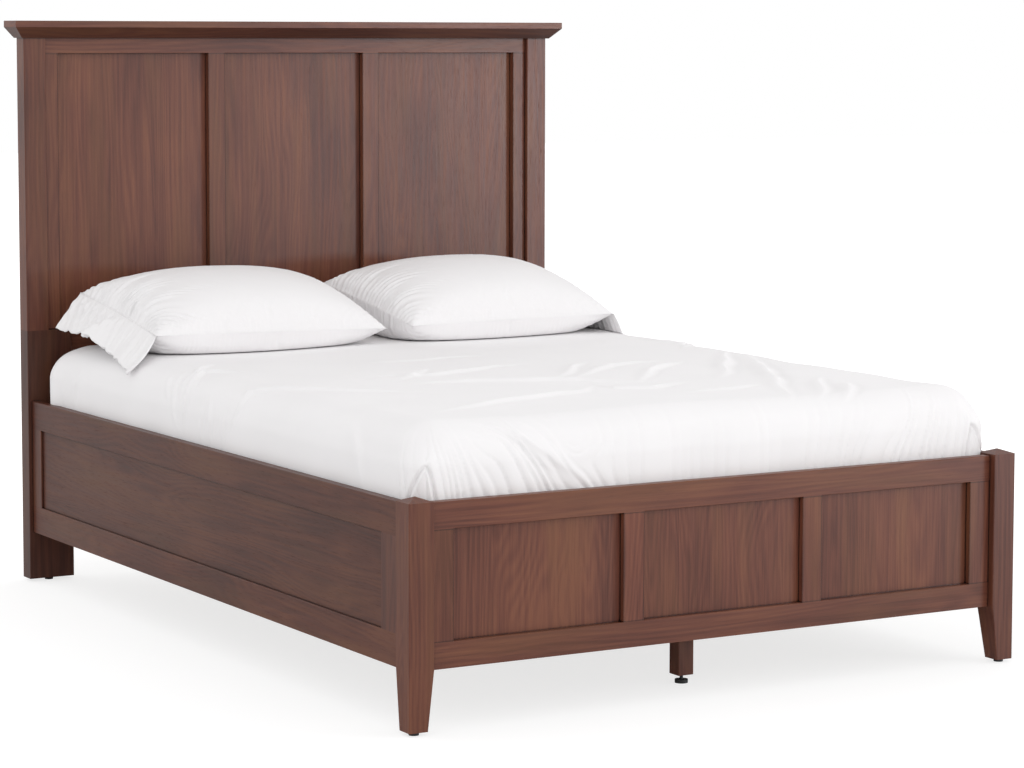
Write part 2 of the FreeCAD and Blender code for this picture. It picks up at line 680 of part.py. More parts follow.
def make_side_rails():
    frame = rail_frame()
    stile_foot, stile_head = [in_right_rail(upright) for upright in frame.uprights()]
    save_pair("side_rail_top", eased_top(in_right_rail(frame.top_rail(tenons=False)), "y"))
    save_pair("side_rail_bottom", in_right_rail(frame.bottom_rail(tenons=False)))
    save_pair("side_rail_foot_stile", stile_foot.cut(at_foot(plate_seat(False))))
    save_pair("side_rail_head_stile", stile_head.cut(at_head(plate_seat(False))))
    save_pair("side_rail_panel", in_right_rail(frame.panels(flush_back=True)[0]))
    ledger_x = (RAIL_INSIDE - LEDGER, RAIL_INSIDE)
    ledger_z = (SLAT_BOTTOM - LEDGER, SLAT_BOTTOM)
    save_pair("slat_ledger", block(ledger_x, (SLATS_FRONT, SLATS_BACK), ledger_z))


# ---- Slats, centre beam and its legs -----------------------------------------------------------------

def slats():
    x = (SLAT_END_GAP - RAIL_INSIDE, RAIL_INSIDE - SLAT_END_GAP)
    z = (SLAT_BOTTOM, SLAT_TOP)
    pitch = (SLATS_BACK - SLATS_FRONT - SLAT_WIDTH) / (SLAT_COUNT - 1)
    fronts = [SLATS_FRONT + number * pitch for number in range(SLAT_COUNT)]
    return [block(x, (front, front + SLAT_WIDTH), z) for front in fronts]


def centre_leg_places():
    """The y of each centre leg, the last as far from the head legs as the first is from the foot posts."""
    first = FOOT_FRONT + CENTRE_LEG_SETBACK + CENTRE_LEG / 2
    last = FOOT_BACK + HEAD_FRONT - first
    pitch = (last - first) / (CENTRE_LEG_COUNT - 1)
    return [first + number * pitch for number in range(CENTRE_LEG_COUNT)]


def leg_bolt(y, growth=0.0):
    z = (BEAM_BOTTOM - LEG_BOLT_IN_LEG - growth, BEAM_BOTTOM + LEG_BOLT_IN_BEAM + growth)
    return pin(LEG_BOLT_RADIUS + growth, 0, y, z)


def centre_leg(y):
    half = CENTRE_LEG / 2
    leg = eased_post((-half, half), (y - half, y + half), (CENTRE_LEG_LIFT, BEAM_BOTTOM))
    insert_seat = pin(INSERT_RADIUS + ROUND_FIT, 0, y, (CENTRE_LEG_LIFT, CENTRE_LEG_LIFT + INSERT_LENGTH))
    stud_top = CENTRE_LEG_LIFT + STUD_IN_LEG + STUD_UP_ROOM
    stud_hole = pin(STUD_RADIUS + FIT, 0, y, (CENTRE_LEG_LIFT, stud_top))
    return leg.cut(insert_seat).cut(stud_hole).cut(leg_bolt(y, ROUND_FIT))


def leg_insert(y):
    """The threaded bush in a leg's end that the levelling stud screws into."""
    z = (CENTRE_LEG_LIFT, CENTRE_LEG_LIFT + INSERT_LENGTH)
    return pin(INSERT_RADIUS, 0, y, z).cut(pin(STUD_RADIUS + ROUND_FIT, 0, y, z))


def leveller(y):
    """A round pad with the stud that carries it."""
    pad = cylinder(LEVELLER_RADIUS, 0, y, (0, LEVELLER_PAD))
    return pad.fuse(cylinder(STUD_RADIUS, 0, y, (LEVELLER_PAD, CENTRE_LEG_LIFT + STUD_IN_LEG)))


def make_platform():
    save("slats", *slats())
    half = BEAM_WIDTH / 2
    beam = block((-half, half), (SLATS_FRONT, SLATS_BACK), (BEAM_BOTTOM, SLAT_BOTTOM))
    places = centre_leg_places()
    save("centre_beam", beam.cut([leg_bolt(y, ROUND_FIT) for y in places]))
    save("leg_bolts", *[leg_bolt(y) for y in places])
    save("leg_inserts", *[leg_insert(y) for y in places])
    for number, y in enumerate(places, start=1):
        save("centre_leg_" + str(number), centre_leg(y))
        save("leveller_" + str(number), leveller(y))


# ---- Mattress, fitted sheet and pillows --------------------------------------------------------------

def mattress_outline(growth, z):
    """The mattress seen from above, with each corner rounded in a few flat steps."""
    x = MATTRESS_WIDTH / 2 - MATTRESS_CORNER
    y = (MATTRESS_FOOT + MATTRESS_CORNER, MATTRESS_FOOT + MATTRESS_LENGTH - MATTRESS_CORNER)
    radius = MATTRESS_CORNER + growth
    corners = []
    for quarter, centre in enumerate(((x, y[1]), (-x, y[1]), (-x, y[0]), (x, y[0]))):
        for step in range(MATTRESS_CORNER_STEPS + 1):
            turn = math.pi / 2 * (quarter + step / MATTRESS_CORNER_STEPS)
            reach = point(radius * math.cos(turn), radius * math.sin(turn), z)
            corners.append(point(centre[0], centre[1], 0) + reach)
    return polygon(corners)


def mattress_form(growth):
    """The block of the mattress, with rounded corners and bevelled edges, grown evenly by an amount."""
    bevel = MATTRESS_EDGE + growth * (2 - math.sqrt(2))
    low = MATTRESS_BOTTOM - growth
    high = MATTRESS_BOTTOM + MATTRESS_THICKNESS + growth
    outlines = [
        mattress_outline(growth - bevel, low), mattress_outline(growth, low + bevel),
        mattress_outline(growth, high - bevel), mattress_outline(growth - bevel, high),
    ]
    return Part.makeLoft(outlines, True, True)


def fitted_sheet():
    """The cover over the top and sides, turned under all round below."""
    cover = mattress_form(FIT + SHEET_THICKNESS).cut(mattress_form(FIT))
    half = MATTRESS_WIDTH / 2 - SHEET_TURN_UNDER
    y = (MATTRESS_FOOT + SHEET_TURN_UNDER, MATTRESS_FOOT + MATTRESS_LENGTH - SHEET_TURN_UNDER)
    mouth = block((-half, half), y, (SLAT_TOP, MATTRESS_BOTTOM + MATTRESS_THICKNESS / 2))
    return cover.cut(mouth)


def lens(span, along):
    """A bar with a lens-shaped section: arcs above and below a thin upright seam."""
    half = span / 2
    seam = PILLOW_SEAM / 2
    corners = [point(-half, 0, -seam), point(half, 0, -seam), point(half, 0, seam), point(-half, 0, seam)]
    below = Part.Arc(corners[0], point(0, 0, -seam - PILLOW_LOWER), corners[1]).toShape()
    above = Part.Arc(corners[2], point(0, 0, seam + PILLOW_UPPER), corners[3]).toShape()
    ends = [Part.makeLine(corners[1], corners[2]), Part.makeLine(corners[3], corners[0])]
    outline = Part.Face(Part.Wire([below, ends[0], above, ends[1]]))
    return moved(outline.extrude(point(0, along, 0)), y=-along / 2)


def pillow(open_side, turn):
    """A pillow in its case, seam plane level before it is tilted, with the case's open hem at one end."""
    across = turned(lens(PILLOW_DEPTH, PILLOW_LENGTH), point(0, 0, 1), 90)
    body = lens(PILLOW_LENGTH, PILLOW_DEPTH).common(across)
    hem_y = PILLOW_DEPTH / 2 - HEM_SIDE_INSET
    hem = block((-HEM_OVERLAP, HEM_LENGTH), (-hem_y, hem_y), (-HEM_THICKNESS / 2, HEM_THICKNESS / 2))
    hem = moved(turned(hem, point(0, 1, 0), HEM_DROOP), x=PILLOW_LENGTH / 2)
    if open_side < 0:
        hem = mirrored_x(hem)
    shape = turned(body.fuse(hem), point(1, 0, 0), PILLOW_TILT)
    shape = turned(shape, point(0, 0, 1), turn)
    slope = math.radians(PILLOW_TILT)
    back = MATTRESS_FOOT + MATTRESS_LENGTH - PILLOW_BACK_GAP
    x = open_side * (PILLOW_LENGTH + PILLOW_MIDDLE_GAP) / 2
    lowest = shape.optimalBoundingBox(False, False).ZMin
    return moved(shape, x=x, y=back - PILLOW_DEPTH / 2 * math.cos(slope), z=BED_TOP + FIT - lowest)


def make_bedding():
    save("mattress", mattress_form(0.0))
    save("fitted_sheet", fitted_sheet())
    save("pillow_left", pillow(-1, LEFT_PILLOW_TURN))
    save("pillow_right", pillow(1, RIGHT_PILLOW_TURN))


os.makedirs("parts", exist_ok=True)
make_footboard()
make_headboard()
make_side_rails()
make_hardware()
make_platform()
make_glides()
make_bedding()
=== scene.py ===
import json
import math

import bpy
import numpy as np
from mathutils import Euler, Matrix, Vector


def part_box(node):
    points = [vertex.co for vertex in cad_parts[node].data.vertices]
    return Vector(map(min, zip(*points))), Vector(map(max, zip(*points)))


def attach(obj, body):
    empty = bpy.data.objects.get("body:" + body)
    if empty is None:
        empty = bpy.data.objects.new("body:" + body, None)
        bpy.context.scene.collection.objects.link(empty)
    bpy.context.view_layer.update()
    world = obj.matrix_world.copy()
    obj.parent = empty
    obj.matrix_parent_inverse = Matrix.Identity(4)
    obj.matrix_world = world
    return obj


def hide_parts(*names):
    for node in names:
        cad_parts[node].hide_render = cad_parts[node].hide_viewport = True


# The looks of a wooden panel bed with a mattress in a fitted sheet and two pillows in open pillowcases.
# Metres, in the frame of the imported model: X across the bed, Y from the footboard to the headboard, Z up.

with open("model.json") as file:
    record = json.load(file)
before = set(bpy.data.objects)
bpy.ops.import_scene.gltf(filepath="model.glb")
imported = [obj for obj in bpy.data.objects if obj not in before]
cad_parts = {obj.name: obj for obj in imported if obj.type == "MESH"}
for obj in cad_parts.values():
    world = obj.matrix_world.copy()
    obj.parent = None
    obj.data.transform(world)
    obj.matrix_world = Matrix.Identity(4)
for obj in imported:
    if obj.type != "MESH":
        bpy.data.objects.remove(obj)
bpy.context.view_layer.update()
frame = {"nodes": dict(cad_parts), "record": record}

# ---- Sizes and places ------------------------------------

# Camera: the photograph's viewing point, for an image of 1024 by 768
CAMERA_PLACE = (-3.8007, -6.6812, 1.4520)
CAMERA_YAW = -30.166  # degrees
CAMERA_PITCH = -5.255
CAMERA_ROLL = 0.075
CAMERA_SENSOR = 36.0  # millimetres
CAMERA_LENS = 108.83
CAMERA_SHIFT = -0.06

# Mattress and the sheet on it
SHEET_GAP = 0.0012  # from the mattress to the inside of the sheet
SHEET_THICKNESS = 0.0009
SOFT_RADIUS = 0.086  # of the block's edges and corners
SHEET_STEP = (0.0036, 0.0045, 0.0032)  # between the lines of the sheet's mesh
MATTRESS_STEP = (0.03, 0.03, 0.03)
SHEET_CORNER_STEPS = 36  # mesh steps round an eighth of a turn
MATTRESS_CORNER_STEPS = 9
TURN_UNDER = 0.09  # how far the sheet reaches in below the mattress
MATTRESS_SETTLE = 0.0095  # how far the mattress keeps below the sheet's folds
TOP_RISE = 0.010  # the filling stands up in the middle of the top
TOP_CROWN = 0.004  # and this much less at its edges
CROWN_HALF = (0.76, 1.01)  # half the width and length of what stands up
CROWN_MIDDLE = -0.033  # its middle, along the bed
TOP_WAVES = ((0.0016, 0.62, 24.0, 0.4), (0.0012, 0.41, 118.0, 1.9), (0.0007, 0.23, 70.0, 0.8))
SIDE_WAVES = ((0.0014, 0.33, 5.0, 0.2), (0.0009, 0.19, 20.0, 1.1))
HEAD_FILL = 0.034  # the upright corners at the head stand out from the even rounding
FOOT_FILL = 0.015
FOOT_TOP_FILL = -0.008  # the tips of the corners at the foot are drawn in
SIDE_BULGE = 0.004  # of the mattress over the side rails
HEAD_FILL_RISE = (0.34, 0.42)  # heights between which the corners at the head fill out,
SIDE_BULGE_RISE = (0.36, 0.42)  # the sides bulge
FOLDS_RISE = (0.44, 0.475)  # and the sheet's folds come in

# Folds of the sheet
TOP_FOLD_HEIGHT = 1.25  # scales of the listed folds
SIDE_FOLD_HEIGHT = 1.5
SIDE_FOLDS_MIDDLE = 0.15  # the right side has the left side's folds, turned about this place
FOLD_BEND = 0.004  # how far a fold strays from its path
FOLD_STEEP = 0.55  # share of its width on its left, and on its right
FOLD_GENTLE = 1.5
FOLD_TROUGH = 0.35  # depth of the hollow on its right, as a share of its height
FINE_WRINKLE_HEIGHT = 0.0008
FOOTBOARD_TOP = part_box("footboard_top_rail")[1][2]  # the foot end's wrinkles start here
FOOT_FOLD_HEIGHT = 0.0098
FOOT_FOLD_TOP = 0.600  # and die away near here
FOOT_FOLD_TOP_BUMP = (0.030, -0.48, 0.10)
LEFT_LEAN = -0.022  # how far they lean over on their way up, and more so at the bumps
LEFT_LEAN_BUMPS = ((-0.120, -0.37, 0.13), (-0.030, -0.56, 0.08))
RIGHT_LEAN = 0.012
RIGHT_LEAN_BUMP = (0.048, 0.45, 0.15)
FOOT_STRENGTH = 0.38  # share of their height in the middle, and what the bumps add to it
FOOT_STRENGTH_BUMPS = ((0.62, -0.48, 0.24), (0.62, 0.52, 0.17))
TUCK_HEIGHT = 0.068
TUCK_OUTER = 0.031  # half widths of the tuck's arch, away from the middle and towards it
TUCK_INNER = 0.016
TUCK_SLACK = ((0.0024, -0.007, 0.004), (0.0022, 0.006, 0.004))  # bumps inside and outside the arch
TUCK_LINE = (-0.0022, -0.002, 0.0018)
TUCKS = (  # where they peak, measured round the corner, with depth and half width
    (-0.727, 0.0056, 0.0022), (0.710, 0.0105, 0.0028),
)

# Pillows: the place is the middle of the seam's plane, the angles are in degrees, start is the phase of the
# puckers, and the open end is the left (-1) or right one (1). Puckers and squareness are for the left and
# right end. A hem reaches so far, with so much cloth, and droops by one angle at the seam and the other at
# its open end. Flare widens it, belly pushes its front edge out and dip draws in its middle.
PILLOWS = {
    "left": {
        "length": 0.664, "place": (-0.3539, 0.7087, 0.7361), "turn": 0.55, "roll": 0.99, "tilt": 8.93,
        "puckers": (1.8, 0.25), "squareness": (5.0, 2.0), "start": 0.0, "open_end": -1,
        "hem": {"reach": 0.122, "cloth": 0.1225, "droop": (43.0, 50.0), "flare": 0.020, "belly": 0.024,
                "dip": 0.15},
    },
    "right": {
        "length": 0.647, "place": (0.3536, 0.7095, 0.7394), "turn": 2.85, "roll": -0.20, "tilt": 9.73,
        "puckers": (1.3, 0.35), "squareness": (4.5, 2.2), "start": 20.0, "open_end": 1,
        "hem": {"reach": 0.108, "cloth": 0.147, "droop": (60.0, 76.0), "flare": 0.0, "belly": 0.0,
                "dip": -0.30},
    },
}
PILLOW_DEPTH = 0.490
PILLOW_LINES = (68, 52)  # of the simulated cloth
FINER = 3  # the modelled cloth has this many times more
END_HOLLOW = 0.010  # how far the end seams are drawn in
SIDE_HOLLOW = 0.006
CLOTH_AMPLE = 0.005
FILLING_FRAMES = 10
SEAM_LIP = 0.0045
PILLOW_RISE = 0.102  # of the top above the seam
PILLOW_DROP = 0.135  # of the underside below the seam, before it meets the bed
PILLOW_BELLY = 0.012  # how far the underside bulges out below the seam
BELLY_NEAR = (0.03, 0.04)  # and how near to the ends and the sides, as shares of the pillow's half
REST_SOFTNESS = 0.003
REST_GAP = 0.0012
HEM_ROWS = 26
HEM_THICKNESS = 0.0008
HEM_CLEAR = 0.0030  # from the sheet
HEM_GAP = 0.009  # between the two layers at the open end
HEM_CREST = 0.030  # height of the slanting fold in the hem
HEM_CREST_WIDTH = (0.060, 0.009)  # in front of the crest and behind it
HEM_NOTCH = (0.735, 0.035)  # place and half width of the notch, as shares of the hem's length
HEM_ROLL = (0.0045, 0.017, 0.008)  # depth, place and half width of the groove along the front edge
HEM_EDGE_STEPS = 4  # round each folded edge

# Light
SKY_LOW = 1.20  # at the horizon
SKY_HIGH = 0.82  # overhead
FLOOR_SIZE = 30.0  # from the middle to the edges
FLOOR_SHADE = 0.36  # as the camera sees it, under its glow
FLOOR_BOUNCE = 0.80  # as the bed sees it
FLOOR_GLOW = 0.74  # near the bed, up to FLOOR_NEAR; from FLOOR_FAR on it glows white
FLOOR_NEAR = 1.35
FLOOR_FAR = 2.8
LAMPS = {  # sizes are width and height, the power is in watts
    "right_softbox": {
        "place": (4.6, -4.9, 2.3), "target": (0.0, 0.0, 1.0), "size": (2.2, 1.8), "power": 44},
    "front_fill": {
        "place": (-1.5, -6.0, 1.0), "target": (0.0, -1.0, 0.5), "size": (2.0, 1.5), "power": 15},
    "right_glare_panel": {  # low enough to leave the crown's top face dark
        "place": (4.9, -4.9, 1.15), "target": (0.0, 1.0, 1.1), "size": (1.2, 0.6), "power": 140,
        "colour": (0.86, 0.93, 1.0), "glare_only": True},
}

# Colours
STAINED = ((0.090, 0.026, 0.0155), (0.136, 0.0415, 0.0240), (0.188, 0.064, 0.033))  # dark to light
PLAIN_SLAT = ((0.42, 0.27, 0.15), (0.55, 0.37, 0.23), (0.66, 0.47, 0.32))
PLAIN_DOWEL = ((0.45, 0.30, 0.18), (0.58, 0.41, 0.27), (0.68, 0.50, 0.36))
PLAIN_YELLOW = 1.03  # how much the plain woods lean to yellow in places
SHEET_WHITE = (0.905, 0.890, 0.897)
PILLOW_WHITE = (0.900, 0.885, 0.892)
CORNER_SHADE_REACH = 0.006  # how far painted shade darkens the wood beside an inner corner
EDGE_SHADE_REACH = 0.0045  # and how far lines of painted shade reach beside the edges of the openings
EDGE_SHADE_PIECES = ("board_stile", "board_mullion")  # pieces with a line of painted shade along their edges
STAIN_TONES_AND_SHADE = {  # darkening of the stain for the pieces whose names start so, 1 for the others: partly tone that differs from board to board, and on the side rails, the crown and the legs painted shade where less light falls
    "crown_front": 0.52, "crown_return": 0.52, "headboard_leg": 0.56, "headboard_post_left": 0.85,
    "headboard_stile_left": 0.88, "headboard_mullion_left": 0.94, "headboard_mullion_right": 1.06,
    "side_rail_panel": 0.60, "side_rail_top": 0.68, "side_rail_bottom": 0.72, "side_rail_head": 0.70,
    "side_rail_foot": 0.80, "footboard_post_left": 0.93, "footboard_post_right": 0.86,
    "footboard_mullion_left": 1.14, "footboard_mullion_right": 1.10, "centre_leg_1": 0.80,
}

# Stained wood: how far each kind of figure is stretched along the grain, then its noise's scale, detail,
# roughness and distortion, and how much of the tone each kind gives
GRAIN = {
    "blotch": (2.5, 6.0, 2.0, 0.5, 0.3),
    "figure": (9.0, 8.0, 2.0, 0.5, 0.6),
    "bands": (30.0, 62.0, 3.0, 0.6, 0.3),
    "fibres": (45.0, 190.0, 3.0, 0.65, 0.2),
    "pores": (22.0, 700.0, 1.0, 0.5, 0.0),
    "hue": (8.0, 16.0, 2.0, 0.5, 0.0),
}
GRAIN_WEIGHTS = {"blotch": 0.30, "figure": 0.20, "bands": 0.17, "fibres": 0.27, "lines": 0.06}
LINES_STRETCH = 9.0  # the growth lines
LINES_SCALE = 330.0
LINES_WANDER = 95.0


# ---- Materials -------------------------------------------

class Nodes:
    """A node tree, put together node by node."""

    def __init__(self, tree):
        self.tree = tree

    def node(self, kind, settings=None, inputs=None):
        """A new node with its settings, and its inputs set or linked."""
        made = self.tree.nodes.new("ShaderNode" + kind)
        for name, value in (settings or {}).items():
            setattr(made, name, value)
        for name, value in (inputs or {}).items():
            self.feed(made.inputs[name], value)
        return made

    def feed(self, socket, value):
        """Link an output to a socket, or set the socket to a constant."""
        if isinstance(value, bpy.types.NodeSocket):
            self.tree.links.new(value, socket)
        else:
            socket.default_value = value

    def place(self):
        """Object coordinates."""
        return self.node("TexCoord").outputs["Object"]

    def calc(self, operation, first, second=0.0):
        """Arithmetic on values."""
        return self.node("Math", {"operation": operation}, {0: first, 1: second}).outputs[0]

    def plus(self, first, second):
        """Their sum."""
        return self.calc("ADD", first, second)

    def times(self, first, second):
        """Their product."""
        return self.calc("MULTIPLY", first, second)

    def seen(self):
        """1 for what the camera sees, straight or through something, and 0 for other rays."""
        rays = self.node("LightPath").outputs
        return self.calc("MAXIMUM", rays["Is Camera Ray"], rays["Is Transmission Ray"])

    def vector(self, operation, first, second):
        """Arithmetic on vectors."""
        return self.node("VectorMath", {"operation": operation}, {0: first, 1: second}).outputs[0]

    def noise(self, place, scale, detail=3.0, roughness=0.5, distortion=0.0):
        """Noise, from 0 to 1."""
        return self.node("TexNoise", None, {
            "Vector": place, "Scale": scale, "Detail": detail, "Roughness": roughness,
            "Distortion": distortion,
        }).outputs["Fac"]

    def ranged(self, value, low, high, new_low=0.0, new_high=1.0):
        """A value moved from one range to another, and kept inside it."""
        return self.node("MapRange", {"clamp": True}, {
            "Value": value, "From Min": low, "From Max": high, "To Min": new_low, "To Max": new_high,
        }).outputs["Result"]

    def ramp(self, value, *stops):
        """The colour at a value, between stops of place and colour."""
        made = self.node("ValToRGB", None, {"Fac": value})
        elements = made.color_ramp.elements
        while len(elements) < len(stops):
            elements.new(1.0)
        for element, (position, colour) in zip(elements, stops):
            element.position = position
            element.color = (*colour, 1.0)
        return made.outputs["Color"]

    def mixed(self, factor, first, second, blend="MIX"):
        """Two colours mixed. Each is an output or a constant."""
        made = self.node("Mix", {"data_type": "RGBA", "blend_type": blend})
        self.feed(made.inputs["Factor"], factor)
        self.feed(made.inputs["A"], first if isinstance(first, bpy.types.NodeSocket) else (*first, 1.0))
        self.feed(made.inputs["B"], second if isinstance(second, bpy.types.NodeSocket) else (*second, 1.0))
        return made.outputs["Result"]

    def grey(self, value):
        """A value as a colour."""
        return self.node("CombineColor", None, {"Red": value, "Green": value, "Blue": value}).outputs["Color"]

    def corners(self, reach, inside=False):
        """How open the surface is within a reach: 1 is open, less is beside an inner corner.

        With inside, it is the other way round: less is beside an outer edge.
        """
        settings = {"samples": 6, "inside": inside}
        return self.node("AmbientOcclusion", settings, {"Distance": reach}).outputs["AO"]


class Finish(Nodes):
    """A node-based material around one Principled shader."""

    def __init__(self, name):
        self.material = bpy.data.materials.new(name)
        self.material.use_nodes = True
        super().__init__(self.material.node_tree)
        self.tree.nodes.clear()
        self.shader = self.node("BsdfPrincipled")
        self.node("OutputMaterial", None, {"Surface": self.shader.outputs["BSDF"]})

    def bump(self, height, strength, distance):
        """Bump for the whole surface."""
        inputs = {"Height": height, "Strength": strength, "Distance": distance}
        self.feed(self.shader.inputs["Normal"], self.node("Bump", None, inputs).outputs["Normal"])

    def set(self, **values):
        """Set or link the shader's own inputs, with underscores for the spaces in their names."""
        for name, value in values.items():
            self.feed(self.shader.inputs[name.replace("_", " ")], value)


def grain_place(finish, along, stretch):
    """Object coordinates, squeezed along the grain and moved for each board, so that no two boards match."""
    board = finish.node("ObjectInfo").outputs["Object Index"]
    shift = finish.node("CombineXYZ", None, {
        "X": finish.times(board, 0.37), "Y": finish.times(board, 0.53),
        "Z": finish.times(board, 0.71),
    }).outputs[0]
    scale = [1.0, 1.0, 1.0]
    scale["XYZ".index(along)] = 1.0 / stretch
    return finish.vector("MULTIPLY", finish.vector("ADD", finish.place(), shift), tuple(scale))


def stained_wood(name, along, tones=STAINED, gloss=0.34, yellow=1.18):
    """Hardwood: flat-sawn figure, growth lines, soft blotches, fine fibres and short open pores.

    An object's colour darkens its stain, partly as painted shade, and its alpha says whether it gets lines of
    painted shade along its edges. Inner corners get painted shade too.
    """
    finish = Finish(name)
    dark, middle, light = tones
    across = "XYZ".index("X" if along == "Z" else "Z")
    grain = {part: finish.noise(grain_place(finish, along, stretch), *noise)
             for part, (stretch, *noise) in GRAIN.items()}
    squeezed = finish.node("SeparateXYZ", None, {"Vector": grain_place(finish, along, LINES_STRETCH)})
    phase = finish.times(squeezed.outputs[across], LINES_SCALE)
    phase = finish.plus(phase, finish.times(grain["figure"], LINES_WANDER))
    grain["lines"] = finish.ranged(finish.calc("SINE", phase), -1.0, 1.0)

    tone = 0.0
    for part, weight in GRAIN_WEIGHTS.items():
        tone = finish.plus(tone, finish.times(grain[part], weight))
    tone = finish.ranged(tone, 0.40, 0.60)
    colour = finish.ramp(tone, (0.0, dark), (0.5, middle), (1.0, light))
    warm = (light[0], light[1] * yellow, light[2] * 0.95)
    colour = finish.mixed(finish.ranged(grain["hue"], 0.48, 0.70, 0.0, 0.38), colour, warm)
    pore = finish.ranged(grain["pores"], 0.60, 0.74)
    colour = finish.mixed(finish.times(pore, 0.22), colour, tuple(part * 0.55 for part in dark))

    board = finish.node("ObjectInfo")
    lot = finish.node("TexWhiteNoise", {"noise_dimensions": "1D"}, {"W": board.outputs["Object Index"]})
    colour = finish.node("HueSaturation", None, {
        "Value": finish.ranged(lot.outputs["Value"], 0.0, 1.0, 0.94, 1.06), "Color": colour,
    }).outputs["Color"]
    # the object's colour: board tone, and painted shade on the pieces that get less light
    colour = finish.mixed(1.0, colour, board.outputs["Color"], "MULTIPLY")

    # painted shade beside inner corners, where the recesses lie in shadow
    painted_corner_shade = finish.ranged(finish.corners(CORNER_SHADE_REACH), 0.50, 0.80, 0.15, 1.0)
    # painted shade lines along the edges of the stiles and mullions, for the shadow lines round the openings
    edge = finish.ranged(finish.corners(EDGE_SHADE_REACH, inside=True), 0.60, 0.92, 0.70, 0.0)
    # the painted shade of the inner corners and of the edges together
    shade = finish.calc("SUBTRACT", painted_corner_shade, finish.times(board.outputs["Alpha"], edge))
    colour = finish.mixed(1.0, colour, finish.grey(shade), "MULTIPLY")

    fibres = grain["fibres"]
    height = finish.calc("SUBTRACT", finish.times(fibres, 0.6), finish.times(pore, 0.6))
    finish.bump(height, 0.16, 0.0006)
    rough = finish.ranged(fibres, 0.3, 0.7, 0.36, 0.44)
    finish.set(Base_Color=colour, Roughness=finish.plus(rough, finish.times(pore, 0.12)))
    finish.set(Specular_IOR_Level=gloss)
    return finish.material


def cotton(name, colour, weave=2600.0, sheen=0.12):
    """Plain woven cotton: two crossing threads, with a soft unevenness of the yarn."""
    finish = Finish(name)
    place = finish.place()
    threads = finish.node("SeparateXYZ", None, {"Vector": finish.vector("MULTIPLY", place, (weave,) * 3)})
    crossing = finish.calc("SINE", threads.outputs["X"])
    crossing = finish.plus(crossing, finish.calc("SINE", threads.outputs["Y"]))
    crossing = finish.plus(crossing, finish.calc("SINE", threads.outputs["Z"]))
    slubs = finish.noise(place, 420.0, 3.0, 0.6)
    cloudy = finish.noise(place, 6.0, 3.0, 0.5)
    height = finish.plus(finish.times(crossing, 0.12), slubs)
    finish.bump(height, 0.12, 0.0004)
    shade = finish.ranged(cloudy, 0.3, 0.7)
    finish.set(Base_Color=finish.mixed(shade, tuple(part * 0.985 for part in colour), colour))
    finish.set(Roughness=finish.ranged(slubs, 0.3, 0.7, 0.82, 0.92))
    finish.set(Sheen_Weight=sheen, Sheen_Roughness=0.5, Specular_IOR_Level=0.25)
    return finish.material


def ticking(name):
    """Quilted mattress cloth, off-white with a fine damask figure."""
    finish = Finish(name)
    place = finish.place()
    quilt = finish.node("TexWave", {"wave_type": "BANDS", "bands_direction": "DIAGONAL"}, {
        "Vector": place, "Scale": 9.0, "Distortion": 1.2, "Detail": 1.0}).outputs["Fac"]
    figure = finish.noise(place, 160.0, 4.0, 0.6, 1.5)
    finish.bump(finish.plus(quilt, finish.times(figure, 0.3)), 0.4, 0.003)
    colour = finish.mixed(finish.ranged(figure, 0.4, 0.6), (0.62, 0.61, 0.57), (0.78, 0.77, 0.73))
    finish.set(Base_Color=colour, Roughness=finish.ranged(figure, 0.3, 0.7, 0.75, 0.95))
    finish.set(Sheen_Weight=0.2, Sheen_Roughness=0.5)
    return finish.material


def plated_steel(name):
    """Zinc-plated steel with a faint crystalline spangle and fine scratches."""
    finish = Finish(name)
    place = finish.place()
    spangle = finish.node("TexVoronoi", None, {"Vector": place, "Scale": 240.0}).outputs["Color"]
    scratches = finish.noise(finish.vector("MULTIPLY", place, (1.0, 1.0, 0.08)), 1500.0, 2.0)
    colour = finish.mixed(0.12, (0.56, 0.57, 0.59), spangle)
    finish.bump(scratches, 0.1, 0.0002)
    finish.set(Base_Color=colour, Metallic=1.0, Roughness=finish.ranged(scratches, 0.3, 0.7, 0.32, 0.5))
    return finish.material


def black_plastic(name):
    """Moulded black plastic with a fine spark-eroded texture."""
    finish = Finish(name)
    grains = finish.noise(finish.place(), 1800.0, 2.0, 0.6)
    colour = finish.mixed(finish.ranged(grains, 0.35, 0.65), (0.010, 0.010, 0.011), (0.022, 0.022, 0.023))
    finish.bump(grains, 0.25, 0.0003)
    finish.set(Base_Color=colour, Roughness=finish.ranged(grains, 0.3, 0.7, 0.45, 0.6))
    return finish.material


FINISHES = {
    "wood_upright_grain": stained_wood("stained_wood_upright", "Z"),
    "wood_cross_grain": stained_wood("stained_wood_across", "X"),
    "wood_lengthwise_grain": stained_wood("stained_wood_lengthwise", "Y", gloss=0.27),
    "slat_wood": stained_wood("plain_slat_wood", "X", PLAIN_SLAT, yellow=PLAIN_YELLOW),
    "dowel_wood": stained_wood("beech_dowel", "Z", PLAIN_DOWEL, yellow=PLAIN_YELLOW),
    "zinc_steel": plated_steel("zinc_plated_steel"),
    "black_plastic": black_plastic("black_plastic"),
    "mattress_ticking": ticking("mattress_ticking"),
    "sheet_cotton": cotton("sheet_cotton", SHEET_WHITE),
    "pillow_cotton": cotton("pillow_cotton", PILLOW_WHITE),
}


